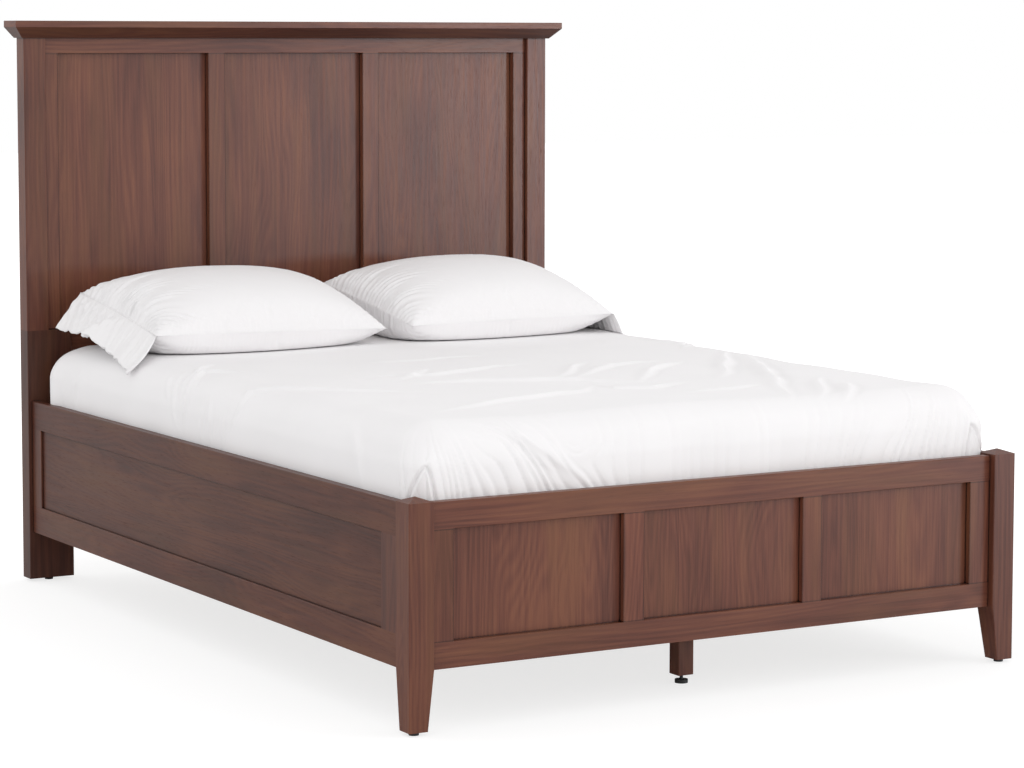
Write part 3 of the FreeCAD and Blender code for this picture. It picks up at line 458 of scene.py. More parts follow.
def dress_frame():
    """Give every carried-over piece of the bed its finish, each board its own number and its tone with
    painted shade, and a mark for lines of painted shade along its edges.
    """
    for number, part in enumerate(frame["record"]["subparts"], start=1):
        piece = frame["nodes"][part["node"]]
        piece.pass_index = number
        # tone of the board, with painted shade for the pieces that get less light
        tone = next((tone for start, tone in STAIN_TONES_AND_SHADE.items() if part["node"].startswith(start)), 1.0)
        # the alpha marks the pieces with lines of painted shade along their edges
        edge_shaded = any(word in part["node"] for word in EDGE_SHADE_PIECES)
        piece.color = (tone, tone, tone, float(edge_shaded))
        for index in range(max(1, len(piece.data.materials))):
            if index >= len(piece.material_slots):
                piece.data.materials.append(None)
            piece.material_slots[index].link = "OBJECT"
            piece.material_slots[index].material = FINISHES[part["material_slot"]]


# ---- Meshes ----------------------------------------------

def make_object(name, points, faces):
    """A new mesh object, linked to the scene."""
    mesh = bpy.data.meshes.new(name)
    mesh.from_pydata([tuple(place) for place in points], [], [tuple(face) for face in faces])
    made = bpy.data.objects.new(name, mesh)
    bpy.context.scene.collection.objects.link(made)
    return made


def make_piece(name, points, faces, body, slot_name):
    """A smooth mesh piece with its finish, riding on a body."""
    piece = make_object(name, points, faces)
    piece.data.polygons.foreach_set("use_smooth", [True] * len(piece.data.polygons))
    piece.data.update()
    piece.data.materials.append(FINISHES[slot_name])
    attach(piece, body)
    return piece


def thicken(piece, thickness):
    """Give a sheet its thickness, inwards."""
    solid = piece.modifiers.new("thickness", "SOLIDIFY")
    solid.thickness = thickness
    solid.offset = -1.0
    solid.use_even_offset = False


def edge_lines(low, high, radius, step, corner_steps):
    """Mesh lines along one side of a rounded block: even angles round both edges, even steps between."""
    angles = np.linspace(0.0, math.pi / 4, corner_steps + 1)
    rounding = radius * np.tan(angles)
    count = max(2, int(round((high - low - 2 * radius) / step)))
    flat = np.linspace(low + radius, high - radius, count + 1)
    return np.concatenate([low + radius - rounding[:0:-1], flat, high - radius + rounding[1:]])


def rounded_block(low, high, radius, step, corner_steps, open_bottom=None):
    """Points, outward normals and faces of a block with rounded edges and corners.

    The step between its mesh lines is given for each axis. With open_bottom, the faces of the underside
    further in than that are left out.
    """
    low, high = np.array(low), np.array(high)
    lines = [edge_lines(low[axis], high[axis], radius, step[axis], corner_steps) for axis in range(3)]
    corners = []
    for axis in range(3):
        first, second = [other for other in range(3) if other != axis]
        counts = (np.arange(len(lines[other]) - 1) for other in (first, second))
        grid = np.stack(np.meshgrid(*counts, indexing="ij"), -1).reshape(-1, 2)
        for end in (0, len(lines[axis]) - 1):
            quad = np.zeros((len(grid), 4, 3), int)
            quad[:, :, axis] = end
            turn = ((0, 0), (1, 0), (1, 1), (0, 1))
            outward = (end > 0) == (axis != 1)
            for corner, (over, up) in enumerate(turn if outward else turn[::-1]):
                quad[:, corner, first] = grid[:, 0] + over
                quad[:, corner, second] = grid[:, 1] + up
            corners.append(quad)
    quads = np.concatenate(corners)
    if open_bottom is not None:
        middle = np.stack([lines[axis][quads[:, :, axis]].mean(1) for axis in range(2)], -1)
        inside = np.all((middle > low[:2] + open_bottom) & (middle < high[:2] - open_bottom), axis=1)
        under = np.all(quads[:, :, 2] == 0, axis=1)
        quads = quads[~(inside & under)]
    keys, faces = np.unique(quads.reshape(-1, 3), axis=0, return_inverse=True)
    places = np.stack([lines[axis][keys[:, axis]] for axis in range(3)], -1)
    core = np.clip(places, low + radius, high - radius)
    out = places - core
    normals = out / np.linalg.norm(out, axis=1, keepdims=True)
    return core + radius * normals, normals, faces.reshape(-1, 4)


# ---- Wrinkles --------------------------------------------

def along_path(places, path):
    """Signed distance of each place (in 2D) from a path, and how far along it that is, from 0 to 1."""
    path = np.array(path, float)
    lengths = np.linalg.norm(np.diff(path, axis=0), axis=1)
    starts = np.concatenate([[0.0], np.cumsum(lengths)])
    best = np.full(len(places), np.inf)
    share = np.zeros(len(places))
    for number, length in enumerate(lengths):
        direction = (path[number + 1] - path[number]) / length
        reach = np.clip((places - path[number]) @ direction, 0.0, length)
        apart = places - path[number] - reach[:, None] * direction
        side = np.sign(direction[0] * apart[:, 1] - direction[1] * apart[:, 0])
        distance = np.linalg.norm(apart, axis=1) * np.where(side < 0, -1, 1)
        nearer = np.abs(distance) < np.abs(best)
        best[nearer] = distance[nearer]
        share[nearer] = (starts[number] + reach[nearer]) / starts[-1]
    return best, share


def fold(places, path, width, height):
    """A soft ridge along a path, steeper on its left, that dies away at both ends."""
    reach = 4 * width
    near = np.all((places > np.min(path, axis=0) - reach) & (places < np.max(path, axis=0) + reach), axis=1)
    close = places[near]
    bend = np.stack([np.sin(31 * close[:, 1] + 2), np.sin(37 * close[:, 0])], -1)
    distance, share = along_path(close + FOLD_BEND * bend, path)
    fading = np.sin(math.pi * np.clip(share, 0.0, 1.0))
    across = distance / (width * (0.45 + 0.55 * fading))
    profile = np.exp(-(across / np.where(across > 0, FOLD_STEEP, FOLD_GENTLE)) ** 2)
    profile = profile - bumps(across, (FOLD_TROUGH, 1.5, 0.7))
    ridge = np.zeros(len(places))
    ridge[near] = height * profile * fading ** 1.3
    return ridge


def bumps(place, *terms):
    """A sum of soft bumps: each term is height, middle and half width."""
    return sum(height * np.exp(-((place - middle) / width) ** 2) for height, middle, width in terms)


def waves(places, terms):
    """A sum of gentle sine waves: each term is height, wavelength, direction in degrees and phase."""
    total = np.zeros(len(places))
    for height, length, direction, phase in terms:
        turn = math.radians(direction)
        run = places[:, 0] * math.cos(turn) + places[:, 1] * math.sin(turn)
        total += height * np.sin(2 * math.pi * run / length + phase)
    return total


def smooth_step(value, low, high):
    """0 below the low value, 1 above the high one, and smooth in between."""
    share = np.clip((value - low) / (high - low), 0.0, 1.0)
    return share * share * (3 - 2 * share)


# Folds of the sheet as it would lie unfolded, with its sides laid out level with its top: path, width, height
TOP_FOLDS = (
    (((-0.02, -0.58), (-0.14, -0.69), (-0.31, -0.735), (-0.43, -0.775), (-0.62, -0.855)), 0.017, 0.0052),
    (((0.17, -0.66), (0.02, -0.52), (-0.07, -0.445), (-0.235, -0.375), (-0.45, -0.36)), 0.02, 0.0054),
    (((0.1, -0.085), (-0.045, -0.125), (-0.25, -0.215), (-0.34, -0.195), (-0.45, -0.14)), 0.016, 0.0042),
    (((-0.19, -0.06), (-0.3, -0.2), (-0.43, -0.335)), 0.012, 0.0036),
    (((0.22, -0.125), (0.08, -0.285), (-0.04, -0.42)), 0.013, 0.0046),
    (((0.44, -0.205), (0.355, -0.215), (0.205, -0.265), (0.0, -0.43)), 0.015, 0.0048),
    (((0.45, -0.235), (0.245, -0.395), (0.08, -0.59)), 0.014, 0.0052),
    (((0.22, -0.605), (0.055, -0.685), (-0.025, -0.665), (-0.03, -0.555)), 0.016, 0.0046),
    (((0.69, -0.05), (0.53, -0.29), (0.425, -0.445), (0.285, -0.64)), 0.018, 0.007),
    (((0.7, -0.14), (0.6, -0.32), (0.485, -0.53), (0.335, -0.795), (0.23, -1.01)), 0.02, 0.008),
    (((0.52, -0.7), (0.41, -0.86), (0.31, -1.01)), 0.016, 0.005),
    (((0.52, -0.82), (0.43, -0.945), (0.37, -1.025)), 0.016, 0.005),
    (((-0.33, -1.2), (-0.42, -1.135), (-0.475, -1.08), (-0.52, -1.04), (-0.6, -0.985)), 0.014, 0.0054),
    (((-0.39, -1.185), (-0.455, -1.13), (-0.505, -1.075), (-0.575, -1.0)), 0.01, 0.004),
    (((0.33, -0.77), (0.18, -0.8), (0.06, -0.8)), 0.014, 0.0034),
    (((0.12, 0.13), (-0.1, 0.105), (-0.3, 0.12)), 0.014, 0.0028),
)
SIDE_FOLDS = (
    (((-0.4, -0.56), (-0.58, -0.4), (-0.66, -0.305), (-0.71, -0.215), (-0.76, -0.155), (-0.86, -0.135)),
     0.013, 0.0038),
    (((-0.7, -0.29), (-0.725, -0.19), (-0.785, -0.175), (-0.87, -0.14)), 0.01, 0.0036),
    (((-0.66, 0.15), (-0.75, 0.12), (-0.815, 0.115), (-0.91, 0.11)), 0.01, 0.0046),
    (((-0.6, 0.28), (-0.71, 0.16), (-0.77, 0.155), (-0.85, 0.135)), 0.009, 0.0042),
    (((-0.62, -0.02), (-0.67, 0.095), (-0.7, 0.135), (-0.76, 0.1), (-0.85, 0.09)), 0.01, 0.0042),
    (((-0.69, 0.215), (-0.77, 0.2), (-0.85, 0.17), (-0.905, 0.14)), 0.009, 0.0032),
    (((-0.74, 0.26), (-0.83, 0.22)), 0.009, 0.003),
    (((-0.8, 0.015), (-0.93, 0.01)), 0.009, 0.0028),
    (((-0.77, -0.01), (-0.85, -0.035), (-0.92, -0.04)), 0.01, 0.0032),
    (((-0.8, -0.105), (-0.93, -0.11)), 0.009, 0.0024),
    (((-0.78, 0.78), (-0.85, 0.8), (-0.92, 0.805)), 0.012, 0.0024),
    (((-0.74, -0.7), (-0.83, -0.79), (-0.92, -0.83)), 0.022, 0.0026),
)


def unfolded(points, normals):
    """Where each point of the sheet would lie if its sides were laid out level with its top."""
    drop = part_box("fitted_sheet")[1][2] - points[:, 2]
    out = normals[:, :2] / np.maximum(np.linalg.norm(normals[:, :2], axis=1, keepdims=True), 1e-6)
    return points[:, :2] + drop[:, None] * out


def round_the_foot(points, normals):
    """Place of each point along the sheet's foot end, measured on round the corners."""
    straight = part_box("fitted_sheet")[1][0] - SOFT_RADIUS
    turn = np.arctan2(np.abs(normals[:, 0]), np.maximum(-normals[:, 1], 1e-6))
    return np.clip(points[:, 0], -straight, straight) + np.sign(points[:, 0]) * SOFT_RADIUS * turn


def foot_lean(start):
    """How far a wrinkle on the foot end leans over on its way up."""
    left = (LEFT_LEAN + bumps(start, *LEFT_LEAN_BUMPS)) * (1 - smooth_step(start, -0.30, -0.20))
    right = (RIGHT_LEAN + bumps(start, RIGHT_LEAN_BUMP)) * smooth_step(start, 0.1, 0.3)
    return left + right


def foot_folds(around, z):
    """Pull wrinkles on the foot end of the sheet: they lean away from the middle and fade upwards."""
    top = FOOT_FOLD_TOP + 0.014 * np.sin(23.0 * around) + 0.010 * np.sin(57.0 * around + 1.0)
    top = top + bumps(around, FOOT_FOLD_TOP_BUMP)
    share = np.clip((z - FOOTBOARD_TOP) / (top - FOOTBOARD_TOP), -0.5, 1.6)
    bent = np.sign(share) * (0.6 * np.abs(share) + 0.4 * share ** 2)
    start = around - foot_lean(around) * bent
    start = around - foot_lean(start) * bent
    phase = 27 * start + 12 * start ** 3 + 0.8 * wander(19 * start, 0.4, 2.0, 5.1)
    number = np.floor(phase)
    uneven = 0.70 + 0.30 * np.sin(2.3 * number)
    ridge = np.abs(np.sin(math.pi * phase)) ** 0.6 - 0.5
    strength = FOOT_STRENGTH + bumps(start, *FOOT_STRENGTH_BUMPS)
    fade = (1 - smooth_step(share * (0.8 + 0.2 * np.sin(1.7 * number)), -0.1, 1.1)) ** 1.1
    return FOOT_FOLD_HEIGHT * strength * uneven * ridge * fade


def corner_tuck(around, z, peak, depth, crease):
    """The tuck at a lower corner of the sheet: a narrow arched crease, with slack cloth on both sides.

    Inside the arch a straight line marks the fold that lies beneath.
    """
    beyond = np.sign(peak) * around - abs(peak)
    width = np.where(beyond > 0, TUCK_OUTER, TUCK_INNER)
    across = np.abs(beyond) / width
    up = np.clip((z - FOOTBOARD_TOP) / TUCK_HEIGHT, 0.0, None)
    steep = np.hypot(1.6 * across ** 0.6 / width, np.where(up > 0, 1 / TUCK_HEIGHT, 0.0))
    distance = (across ** 1.6 + up - 1) / np.maximum(steep, 1.0)
    line = bumps(beyond, TUCK_LINE) * (1 - smooth_step(up, 0.70, 0.90))
    return bumps(distance, *TUCK_SLACK, (-depth, 0.0, crease)) + line


def swell(points, normals):
    """The broad unevenness that the mattress and its sheet share."""
    x, y, z = points.T
    top = smooth_step(normals[:, 2], 0.2, 0.8)
    sides = 1 - np.abs(normals[:, 2])
    upright = normals[:, 0] ** 2 * normals[:, 1] ** 2
    corner = 4 * upright
    tip = 27 * upright * np.clip(normals[:, 2], 0, 1) ** 2
    crown = np.clip(1 - (x / CROWN_HALF[0]) ** 4, 0, 1)
    crown = crown * np.clip(1 - ((y - CROWN_MIDDLE) / CROWN_HALF[1]) ** 4, 0, 1)
    out = top * (waves(points, TOP_WAVES) + TOP_RISE - TOP_CROWN * (1 - crown))
    out = out + HEAD_FILL * corner * (y > 0) * smooth_step(z, *HEAD_FILL_RISE)
    out = out + (FOOT_FILL * corner + FOOT_TOP_FILL * tip) * (y < 0)
    free = np.maximum(np.abs(normals[:, 0]), normals[:, 1])
    out = out + SIDE_BULGE * smooth_step(free, 0.3, 0.9) * smooth_step(z, *SIDE_BULGE_RISE)
    round_about = np.stack([x + y, z], -1)
    return out + sides * waves(round_about, SIDE_WAVES)


def fine_wrinkles(points):
    """Faint, uneven wrinkles across the middle of the bed's top."""
    x, y = points[:, 0], points[:, 1]
    slant = y + 0.22 * x + 0.020 * np.sin(9 * x + 1) + 0.012 * np.sin(23 * x + 4 * y)
    ripples = np.sin(slant * 130 + 2 * np.sin(7 * x)) + 0.6 * np.sin(slant * 211 + 3 * np.sin(5 * x + 1))
    patch = np.exp(-((x + 0.30) / 0.30) ** 2 - ((y + 0.20) / 0.22) ** 2)
    patch = patch + 0.5 * np.exp(-((x - 0.10) / 0.25) ** 2 - ((y + 0.52) / 0.20) ** 2)
    return FINE_WRINKLE_HEIGHT * patch * ripples * (0.6 + 0.4 * np.sin(13 * x - 5 * y))


def wrinkled(points, normals):
    """How far each point of the sheet stands out from the smooth block."""
    z = points[:, 2]
    flat = unfolded(points, normals)
    other_side = flat * (-1, -1) + (0, 2 * SIDE_FOLDS_MIDDLE)
    out = smooth_step(normals[:, 2], 0.2, 0.8) * fine_wrinkles(points)
    for listed, scale, places in (
            (TOP_FOLDS, TOP_FOLD_HEIGHT, flat), (SIDE_FOLDS, SIDE_FOLD_HEIGHT, flat),
            (SIDE_FOLDS, SIDE_FOLD_HEIGHT, other_side)):
        for path, width, height in listed:
            out = out + scale * fold(places, path, width, height)
    around = round_the_foot(points, normals)
    foot = foot_folds(around, z)
    for peak, depth, crease in TUCKS:
        foot = foot + corner_tuck(around, z, peak, depth, crease)
    out = out + smooth_step(-normals[:, 1], 0.10, 0.35) * foot
    return swell(points, normals) + smooth_step(z, *FOLDS_RISE) * out


# ---- Mattress and fitted sheet ---------------------------

def make_mattress():
    """The padded mattress, just below the sheet's folds."""
    low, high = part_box("mattress")
    points, normals, faces = rounded_block(low, high, SOFT_RADIUS, MATTRESS_STEP, MATTRESS_CORNER_STEPS)
    points = points + normals * (swell(points, normals) - MATTRESS_SETTLE)[:, None]
    mattress = make_piece("mattress_block", points, faces, "mattress", "mattress_ticking")
    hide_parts("mattress")
    return mattress


def make_sheet(mattress):
    """The fitted sheet, stretched over the mattress and open below it.

    It is cut flat to cover the top, the sides and what turns under, with a square out of each corner.
    """
    low, high = (Vector(corner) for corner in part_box("mattress"))
    gap = Vector((SHEET_GAP,) * 3)
    points, normals, faces = rounded_block(
        low - gap, high + gap, SOFT_RADIUS + SHEET_GAP, SHEET_STEP, SHEET_CORNER_STEPS, TURN_UNDER)
    points = points + normals * wrinkled(points, normals)[:, None]
    sheet = make_piece("fitted_sheet_cloth", points, faces, "mattress", "sheet_cotton")
    thicken(sheet, SHEET_THICKNESS)
    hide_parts("fitted_sheet")


# ---- Pillows ---------------------------------------------

def pouch(length, squareness):
    """A two-layer pouch: points, faces, and the grids of point numbers of its top and underside.

    Its underside is as square as given at each end, and bulges out a little below the seam.
    """
    u, v = np.meshgrid(*(np.linspace(-1, 1, count + 1) for count in PILLOW_LINES), indexing="ij")
    x = u * (length / 2 - END_HOLLOW * (1 - v ** 2))
    y = v * (PILLOW_DEPTH / 2 - SIDE_HOLLOW * (1 - u ** 2))
    rise = PILLOW_RISE * ((1 - np.abs(u) ** 2.6) * (1 - np.abs(v) ** 2.2)) ** 0.55
    square = np.where(u < 0, squareness[0], squareness[1])
    drop = PILLOW_DROP * ((1 - np.abs(u) ** square) * (1 - np.abs(v) ** 3.0)) ** 0.65
    belly = []
    for way, near in zip((u, v), BELLY_NEAR):
        away = (1 - np.abs(way)) / near
        belly.append(np.sign(way) * PILLOW_BELLY * away * np.exp(1 - away))
    top = np.arange(u.size).reshape(u.shape)
    seam = np.ones(u.shape, bool)
    seam[1:-1, 1:-1] = False
    under = top.copy()
    under[~seam] = u.size + np.arange((~seam).sum())
    upper = np.stack([x, y, rise], -1).reshape(-1, 3)
    lower = np.stack([x + belly[0] * (1 - v ** 4), y + belly[1] * (1 - u ** 4), -drop], -1)[~seam]
    return np.concatenate([upper, lower]), pouch_faces(top, under), top, under


def pouch_faces(top, under):
    """The faces of two grids of points that share their rim."""
    faces = []
    for layer, turn in ((top, 1), (under, -1)):
        quads = np.stack([layer[:-1, :-1], layer[1:, :-1], layer[1:, 1:], layer[:-1, 1:]], -1).reshape(-1, 4)
        faces.append(quads[:, ::turn])
    return np.concatenate(faces)


def filled(points, faces, seam):
    """Blow a pouch up with a cloth simulation. Its seam stays in place and its cloth is a little ample."""
    pouch_piece = make_object("pouch", points, faces)
    mesh = pouch_piece.data
    held = pouch_piece.vertex_groups.new(name="seam")
    held.add([int(number) for number in seam], 1.0, "REPLACE")
    modifier = pouch_piece.modifiers.new("filling", "CLOTH")
    cloth = modifier.settings
    cloth.quality = 6
    cloth.mass = 0.15
    cloth.tension_stiffness = cloth.compression_stiffness = 15
    cloth.shear_stiffness = 5
    cloth.bending_stiffness = 0.05
    cloth.use_pressure = True
    cloth.uniform_pressure_force = 3.5
    cloth.effector_weights.gravity = 0
    cloth.vertex_group_mass = "seam"
    cloth.shrink_min = cloth.shrink_max = -CLOTH_AMPLE
    modifier.collision_settings.use_collision = False
    for number in range(1, FILLING_FRAMES + 1):
        bpy.context.scene.frame_set(number)
    result = pouch_piece.evaluated_get(bpy.context.evaluated_depsgraph_get()).data
    shape = np.empty(len(result.vertices) * 3)
    result.vertices.foreach_get("co", shape)
    bpy.context.scene.frame_set(1)
    bpy.data.objects.remove(pouch_piece)
    bpy.data.meshes.remove(mesh)
    return shape.reshape(-1, 3)


def finer(grid, factor):
    """A grid of points made finer along both directions by cubic curves through its points."""
    for _ in range(2):
        ends = (2 * grid[:1] - grid[1:2], 2 * grid[-1:] - grid[-2:-1])
        run = np.concatenate([ends[0], grid, ends[1]])
        first, second, third, fourth = run[:-3], run[1:-2], run[2:-1], run[3:]
        steps = []
        for step in range(factor):
            t = step / factor
            steps.append(second + 0.5 * t * (third - first + t * (
                2 * first - 5 * second + 4 * third - fourth + t * (3 * (second - third) + fourth - first))))
        made = np.stack(steps, 1).reshape(-1, *grid.shape[1:])
        grid = np.concatenate([made, grid[-1:]]).swapaxes(0, 1)
    return grid


def wander(value, *starts):
    """A smooth, uneven wave between about -1 and 1: each start is the phase of one more, finer sine."""
    total = 0.0
    for number, start in enumerate(starts):
        total = total + np.sin(value * 1.7 ** number + start) / 1.3 ** number
    return total / len(starts) * 1.4


def puckers(along, away, pitch, reach, height, start, fan=0.0):
    """Gathered cloth beside a seam: uneven ridges that leave the seam, spread out and die away."""
    bent = along / (1 + fan * away) + 1.1 * away ** 2
    phase = bent / pitch + 0.9 * wander(bent * 23.0, start, start + 1.3, start + 4.1)
    ridges = (0.5 + 0.5 * np.cos(2 * math.pi * phase)) ** 1.4 - 0.4
    length = reach * (0.75 + 0.55 * wander(along * 61.0, start + 2.0, start + 5.5))
    fade = (1 - np.exp(-away / 0.005)) * np.exp(-(away / np.clip(length, 0.004, None)) ** 1.6)
    return height * ridges * fade


def gathered(layer, length, ends, outward, start):
    """One layer of a filled pillow with its seam lip and the puckers along all four seams."""
    u, v = np.meshgrid(*(np.linspace(-1, 1, count) for count in layer.shape[:2]), indexing="ij")
    s, t = u * length / 2, v * PILLOW_DEPTH / 2
    from_end, from_side = length / 2 - np.abs(s), PILLOW_DEPTH / 2 - np.abs(t)
    nearest = np.minimum(from_end, from_side)
    layer[..., 2] *= 1 - np.exp(-(nearest / SEAM_LIP) ** 2)
    normals = np.cross(np.gradient(layer, axis=0), np.gradient(layer, axis=1))
    normals *= outward / np.linalg.norm(normals, axis=2, keepdims=True)
    end = puckers(t, from_end, 0.0165, 0.095, 0.0045, start, fan=2.5)
    end = end + puckers(t, from_end, 0.009, 0.035, 0.0016, start + 7)
    end = end * np.where(u < 0, ends[0], ends[1]) * smooth_step(from_side, 0.0, 0.035)
    side = puckers(s, from_side, 0.011, 0.020, 0.0013, start + 3)
    soft = wander(31.0 * u + 9.0 * v + start, 0.3, 2.2, 5.0) * wander(12.0 * v - 6.0 * u, 1.0, 3.7, 0.2)
    corner = np.clip(nearest / 0.02, 0, 1)
    return layer + normals * (end + side + 0.0004 * soft * corner)[..., None]


def posed(points, pillow):
    """Pillow coordinates put in their place on the bed."""
    tilt = Euler((math.radians(pillow["tilt"]), 0, 0)).to_matrix()
    roll = Euler((0, math.radians(pillow["roll"]), 0)).to_matrix()
    turn = Euler((0, 0, math.radians(pillow["turn"]))).to_matrix()
    return points @ np.array(turn @ roll @ tilt).T + pillow["place"]


def clear_of_bed(points, gap):
    """Cloth over the bed's side or its edge stays outside the sheeted mattress."""
    low, high = (np.array(corner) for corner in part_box("fitted_sheet"))
    high[2] += TOP_RISE
    core = np.clip(points, low + SOFT_RADIUS, high - SOFT_RADIUS)
    out = points - core
    distance = np.linalg.norm(out, axis=-1, keepdims=True)
    pushed = core + out * (SOFT_RADIUS + gap) / np.maximum(distance, 1e-6)
    return np.where(distance < SOFT_RADIUS + gap, pushed, points)


def settled(points):
    """Rest the pillow's underside on the bed: what would sink in is pressed flat."""
    flat = np.stack([points[:, 0], points[:, 1], np.full(len(points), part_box("fitted_sheet")[1][2])], -1)
    upward = np.tile((0.0, 0.0, 1.0), (len(points), 1))
    bed = flat[:, 2] + swell(flat, upward) + REST_GAP
    depth = (points[:, 2] - bed) / REST_SOFTNESS
    pressed = np.where(depth > 30, depth, np.log1p(np.exp(np.clip(depth, -50, 30))))
    return np.stack([points[:, 0], points[:, 1], bed + REST_SOFTNESS * pressed], -1)


def make_pillow(name, body, node, pillow):
    """A pillow in its case: filled by simulation, gathered along its seams, and rested on the bed."""
    length, start, open_end = pillow["length"], pillow["start"], pillow["open_end"]
    points, faces, top, under = pouch(length, pillow["squareness"])
    rim = np.setdiff1d(top.ravel(), top[1:-1, 1:-1].ravel())
    shape = filled(points, faces, rim)
    upper = gathered(finer(shape[top], FINER), length, pillow["puckers"], 1, start)
    lower = gathered(finer(shape[under], FINER), length, pillow["puckers"], -1, start + 11)
    inside = np.zeros(upper.shape[:2], bool)
    inside[1:-1, 1:-1] = True
    top = np.arange(inside.size).reshape(inside.shape)
    under = top.copy()
    under[inside] = inside.size + np.arange(inside.sum())
    shape = np.concatenate([upper.reshape(-1, 3), lower[inside]])
    shape = settled(posed(shape, pillow))
    piece = make_piece(name, shape, pouch_faces(top, under), body, "pillow_cotton")
    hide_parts(node)
    make_hem(name + "_hem", body, shape[top[0] if open_end < 0 else top[-1]], open_end, pillow["hem"])


def hem_row(along, out, hem, side, layer):
    """Where one row of the hem's points lies from the seam: along its length, at a share of its reach."""
    run = along * PILLOW_DEPTH

    # How far the row reaches, with the dip and the notch in the line of the open end
    dip = hem["dip"] * (np.sin(math.pi * along) ** 0.7 + 0.35 * along)
    notch = bumps(along, (0.5 * hem["dip"], *HEM_NOTCH))
    reach = hem["reach"] * (1 - dip - notch + 0.022 * out * wander(run * 110, 1.9, 0.5))

    # How it droops, steeper and steeper
    start, end = hem["droop"]
    droop = np.radians(start + (end - start) * np.linspace(0, out, 12))
    forward, down = out * np.cos(droop).mean(), out * np.sin(droop).mean()

    # Its unevenness: the slanting crest, soft waves, gathers at the seam, the slope behind the crest, the
    # groove beside the rolled front edge, and the gap between the layers
    crest = (along - 0.46 - 0.13 * out) * PILLOW_DEPTH
    height = HEM_CREST * out ** 0.7 * np.exp(-np.abs(crest) / np.where(crest < 0, *HEM_CREST_WIDTH))
    height = height + 0.0080 * out * wander(run * 26, 0.4, 2.9, 1.1)
    gathers = wander((run + 0.15 * out * run) * 150, 0.2, 3.1) + 0.5 * wander(run * 330, 1.2, 4.4)
    behind = (0.55 + 0.45 * np.tanh(crest / 0.02)) * smooth_step(1 - along, 0.0, 0.12)
    fade = (1 - out) ** 0.5 * (1 - math.exp(-(out / 0.15) ** 2))
    height = height + (0.0022 + 0.0038 * behind) * gathers * fade
    height = height - 0.07 * np.clip(crest, 0.0, 0.20) * out
    height = height - bumps(run, HEM_ROLL) * out ** 0.5
    open_by = 0.35 + 0.65 * np.sin(math.pi * np.clip(along + 0.25, 0, 1))
    height = height - REST_GAP - layer * HEM_GAP * out ** 0.5 * open_by

    belly = -hem["belly"] * math.sin(math.pi * out) * (1 - along) ** 6
    return np.concatenate([
        side * (reach * forward + height * math.sin(droop[-1])),
        belly + hem["flare"] * out * (along - 0.5),
        height * math.cos(droop[-1]) - reach * down,
    ], axis=1)


def make_hem(name, body, seam, side, hem):
    """The open end of the pillowcase: a flat tube of cloth that droops from the end of the filling."""
    along = np.linspace(0, 1, len(seam))[:, None]
    turns = np.linspace(0, math.pi, HEM_EDGE_STEPS + 1)[1:-1]
    rings = []
    for out in np.linspace(0, 1, HEM_ROWS + 1):
        upper, lower = (seam + hem_row(along, out, hem, side, layer) for layer in (0, 1))
        edges = []
        for end, outward in ((-1, 1), (0, -1)):
            middle, half = (upper[end] + lower[end]) / 2, (upper[end] - lower[end]) / 2
            bulge = np.array((0, outward * np.linalg.norm(half), 0))
            edge = [middle + half * math.cos(turn) + bulge * math.sin(turn) for turn in turns]
            edges.append(np.array(edge))
        ring = np.concatenate([upper, edges[0], lower[::-1], edges[1][::-1]])
        rings.append(clear_of_bed(ring, HEM_CLEAR))
    number = np.arange(len(rings) * len(rings[0])).reshape(len(rings), -1)
    after = np.roll(number, -1, axis=1)
    faces = np.stack([number[:-1], number[1:], after[1:], after[:-1]], -1).reshape(-1, 4)
    piece = make_piece(name, np.concatenate(rings), faces[:, ::side], body, "pillow_cotton")
    thicken(piece, HEM_THICKNESS)


# ---- Floor, backdrop, light and camera -------------------

def make_stage():
    """A pale floor that keeps the bed's shadow and turns white further off."""
    turns = ((-1, -1), (1, -1), (1, 1), (-1, 1))
    floor = make_object("floor", [(x * FLOOR_SIZE, y * FLOOR_SIZE, 0) for x, y in turns], [(0, 1, 2, 3)])
    finish = Finish("pale_floor")
    seen = finish.seen()
    distance = finish.node("VectorMath", {"operation": "LENGTH"}, {0: finish.place()}).outputs["Value"]
    glow = finish.ranged(distance, FLOOR_NEAR, FLOOR_FAR, FLOOR_GLOW, 1.0)
    finish.set(Base_Color=finish.mixed(seen, (FLOOR_BOUNCE,) * 3, (FLOOR_SHADE,) * 3))
    finish.set(Roughness=0.9, Specular_IOR_Level=0.0)
    finish.set(Emission_Color=(1.0, 1.0, 1.0, 1.0), Emission_Strength=finish.times(seen, glow))
    floor.data.materials.append(finish.material)


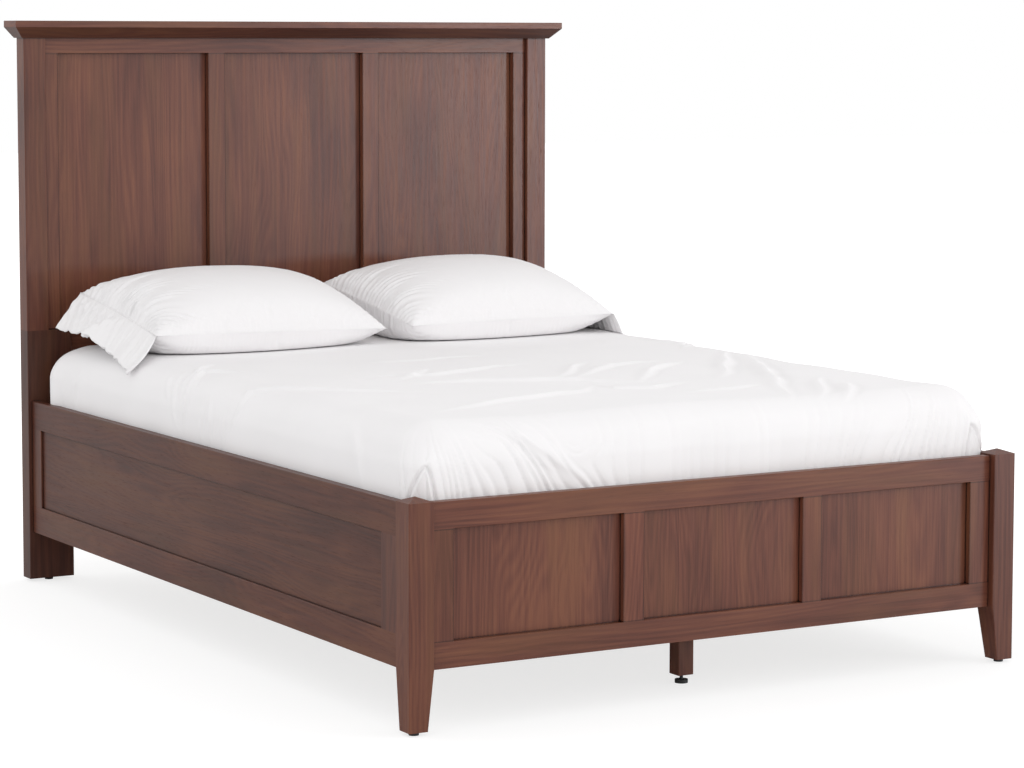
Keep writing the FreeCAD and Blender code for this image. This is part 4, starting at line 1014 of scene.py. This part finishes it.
def make_world():
    """Soft light from all round, brighter near the horizon. The camera sees plain white."""
    world = bpy.data.worlds.new("studio")
    bpy.context.scene.world = world
    world.use_nodes = True
    nodes = Nodes(world.node_tree)
    direction = nodes.node("SeparateXYZ", None, {"Vector": nodes.node("TexCoord").outputs["Generated"]})
    height = nodes.ranged(direction.outputs["Z"], 0.0, 1.0, SKY_LOW, SKY_HIGH)
    strength = nodes.node("Mix", None, {"Factor": nodes.seen(), "A": height, "B": 1.0})
    background = world.node_tree.nodes["Background"]
    nodes.feed(background.inputs["Strength"], strength.outputs["Result"])
    nodes.feed(background.inputs["Color"], (1.0, 1.0, 1.0, 1.0))


def make_lamp(name, place, target, size, power, colour=(1.0, 1.0, 1.0), glare_only=False):
    """A rectangular lamp that faces its target. One for glare only is seen in gloss and lights nothing."""
    lamp = bpy.data.lights.new(name, "AREA")
    lamp.shape = "RECTANGLE"
    lamp.size, lamp.size_y = size
    lamp.energy = power
    lamp.color = colour
    holder = bpy.data.objects.new(name, lamp)
    holder.location = place
    holder.rotation_euler = (Vector(target) - Vector(place)).to_track_quat("-Z", "Y").to_euler()
    holder.visible_diffuse = not glare_only
    bpy.context.scene.collection.objects.link(holder)


def make_camera():
    """The photograph's camera."""
    camera = bpy.data.cameras.new("camera")
    camera.sensor_width = CAMERA_SENSOR
    camera.lens = CAMERA_LENS
    camera.shift_y = CAMERA_SHIFT
    holder = bpy.data.objects.new("camera", camera)
    holder.location = CAMERA_PLACE
    yaw, pitch, roll = (Euler(tuple(math.radians(angle) for angle in angles)).to_matrix() for angles in (
        (0, 0, CAMERA_YAW), (90 + CAMERA_PITCH, 0, 0), (0, 0, CAMERA_ROLL)))
    holder.rotation_euler = (yaw @ pitch @ roll).to_euler()
    bpy.context.scene.collection.objects.link(holder)
    bpy.context.scene.camera = holder


dress_frame()
make_sheet(make_mattress())
for side, pillow in PILLOWS.items():
    make_pillow("pillow_case_" + side, side + "_pillow", "pillow_" + side, pillow)
make_stage()
make_world()
for lamp_name, lamp in LAMPS.items():
    make_lamp(lamp_name, **lamp)
make_camera()
bpy.context.scene.view_settings.view_transform = "Standard"
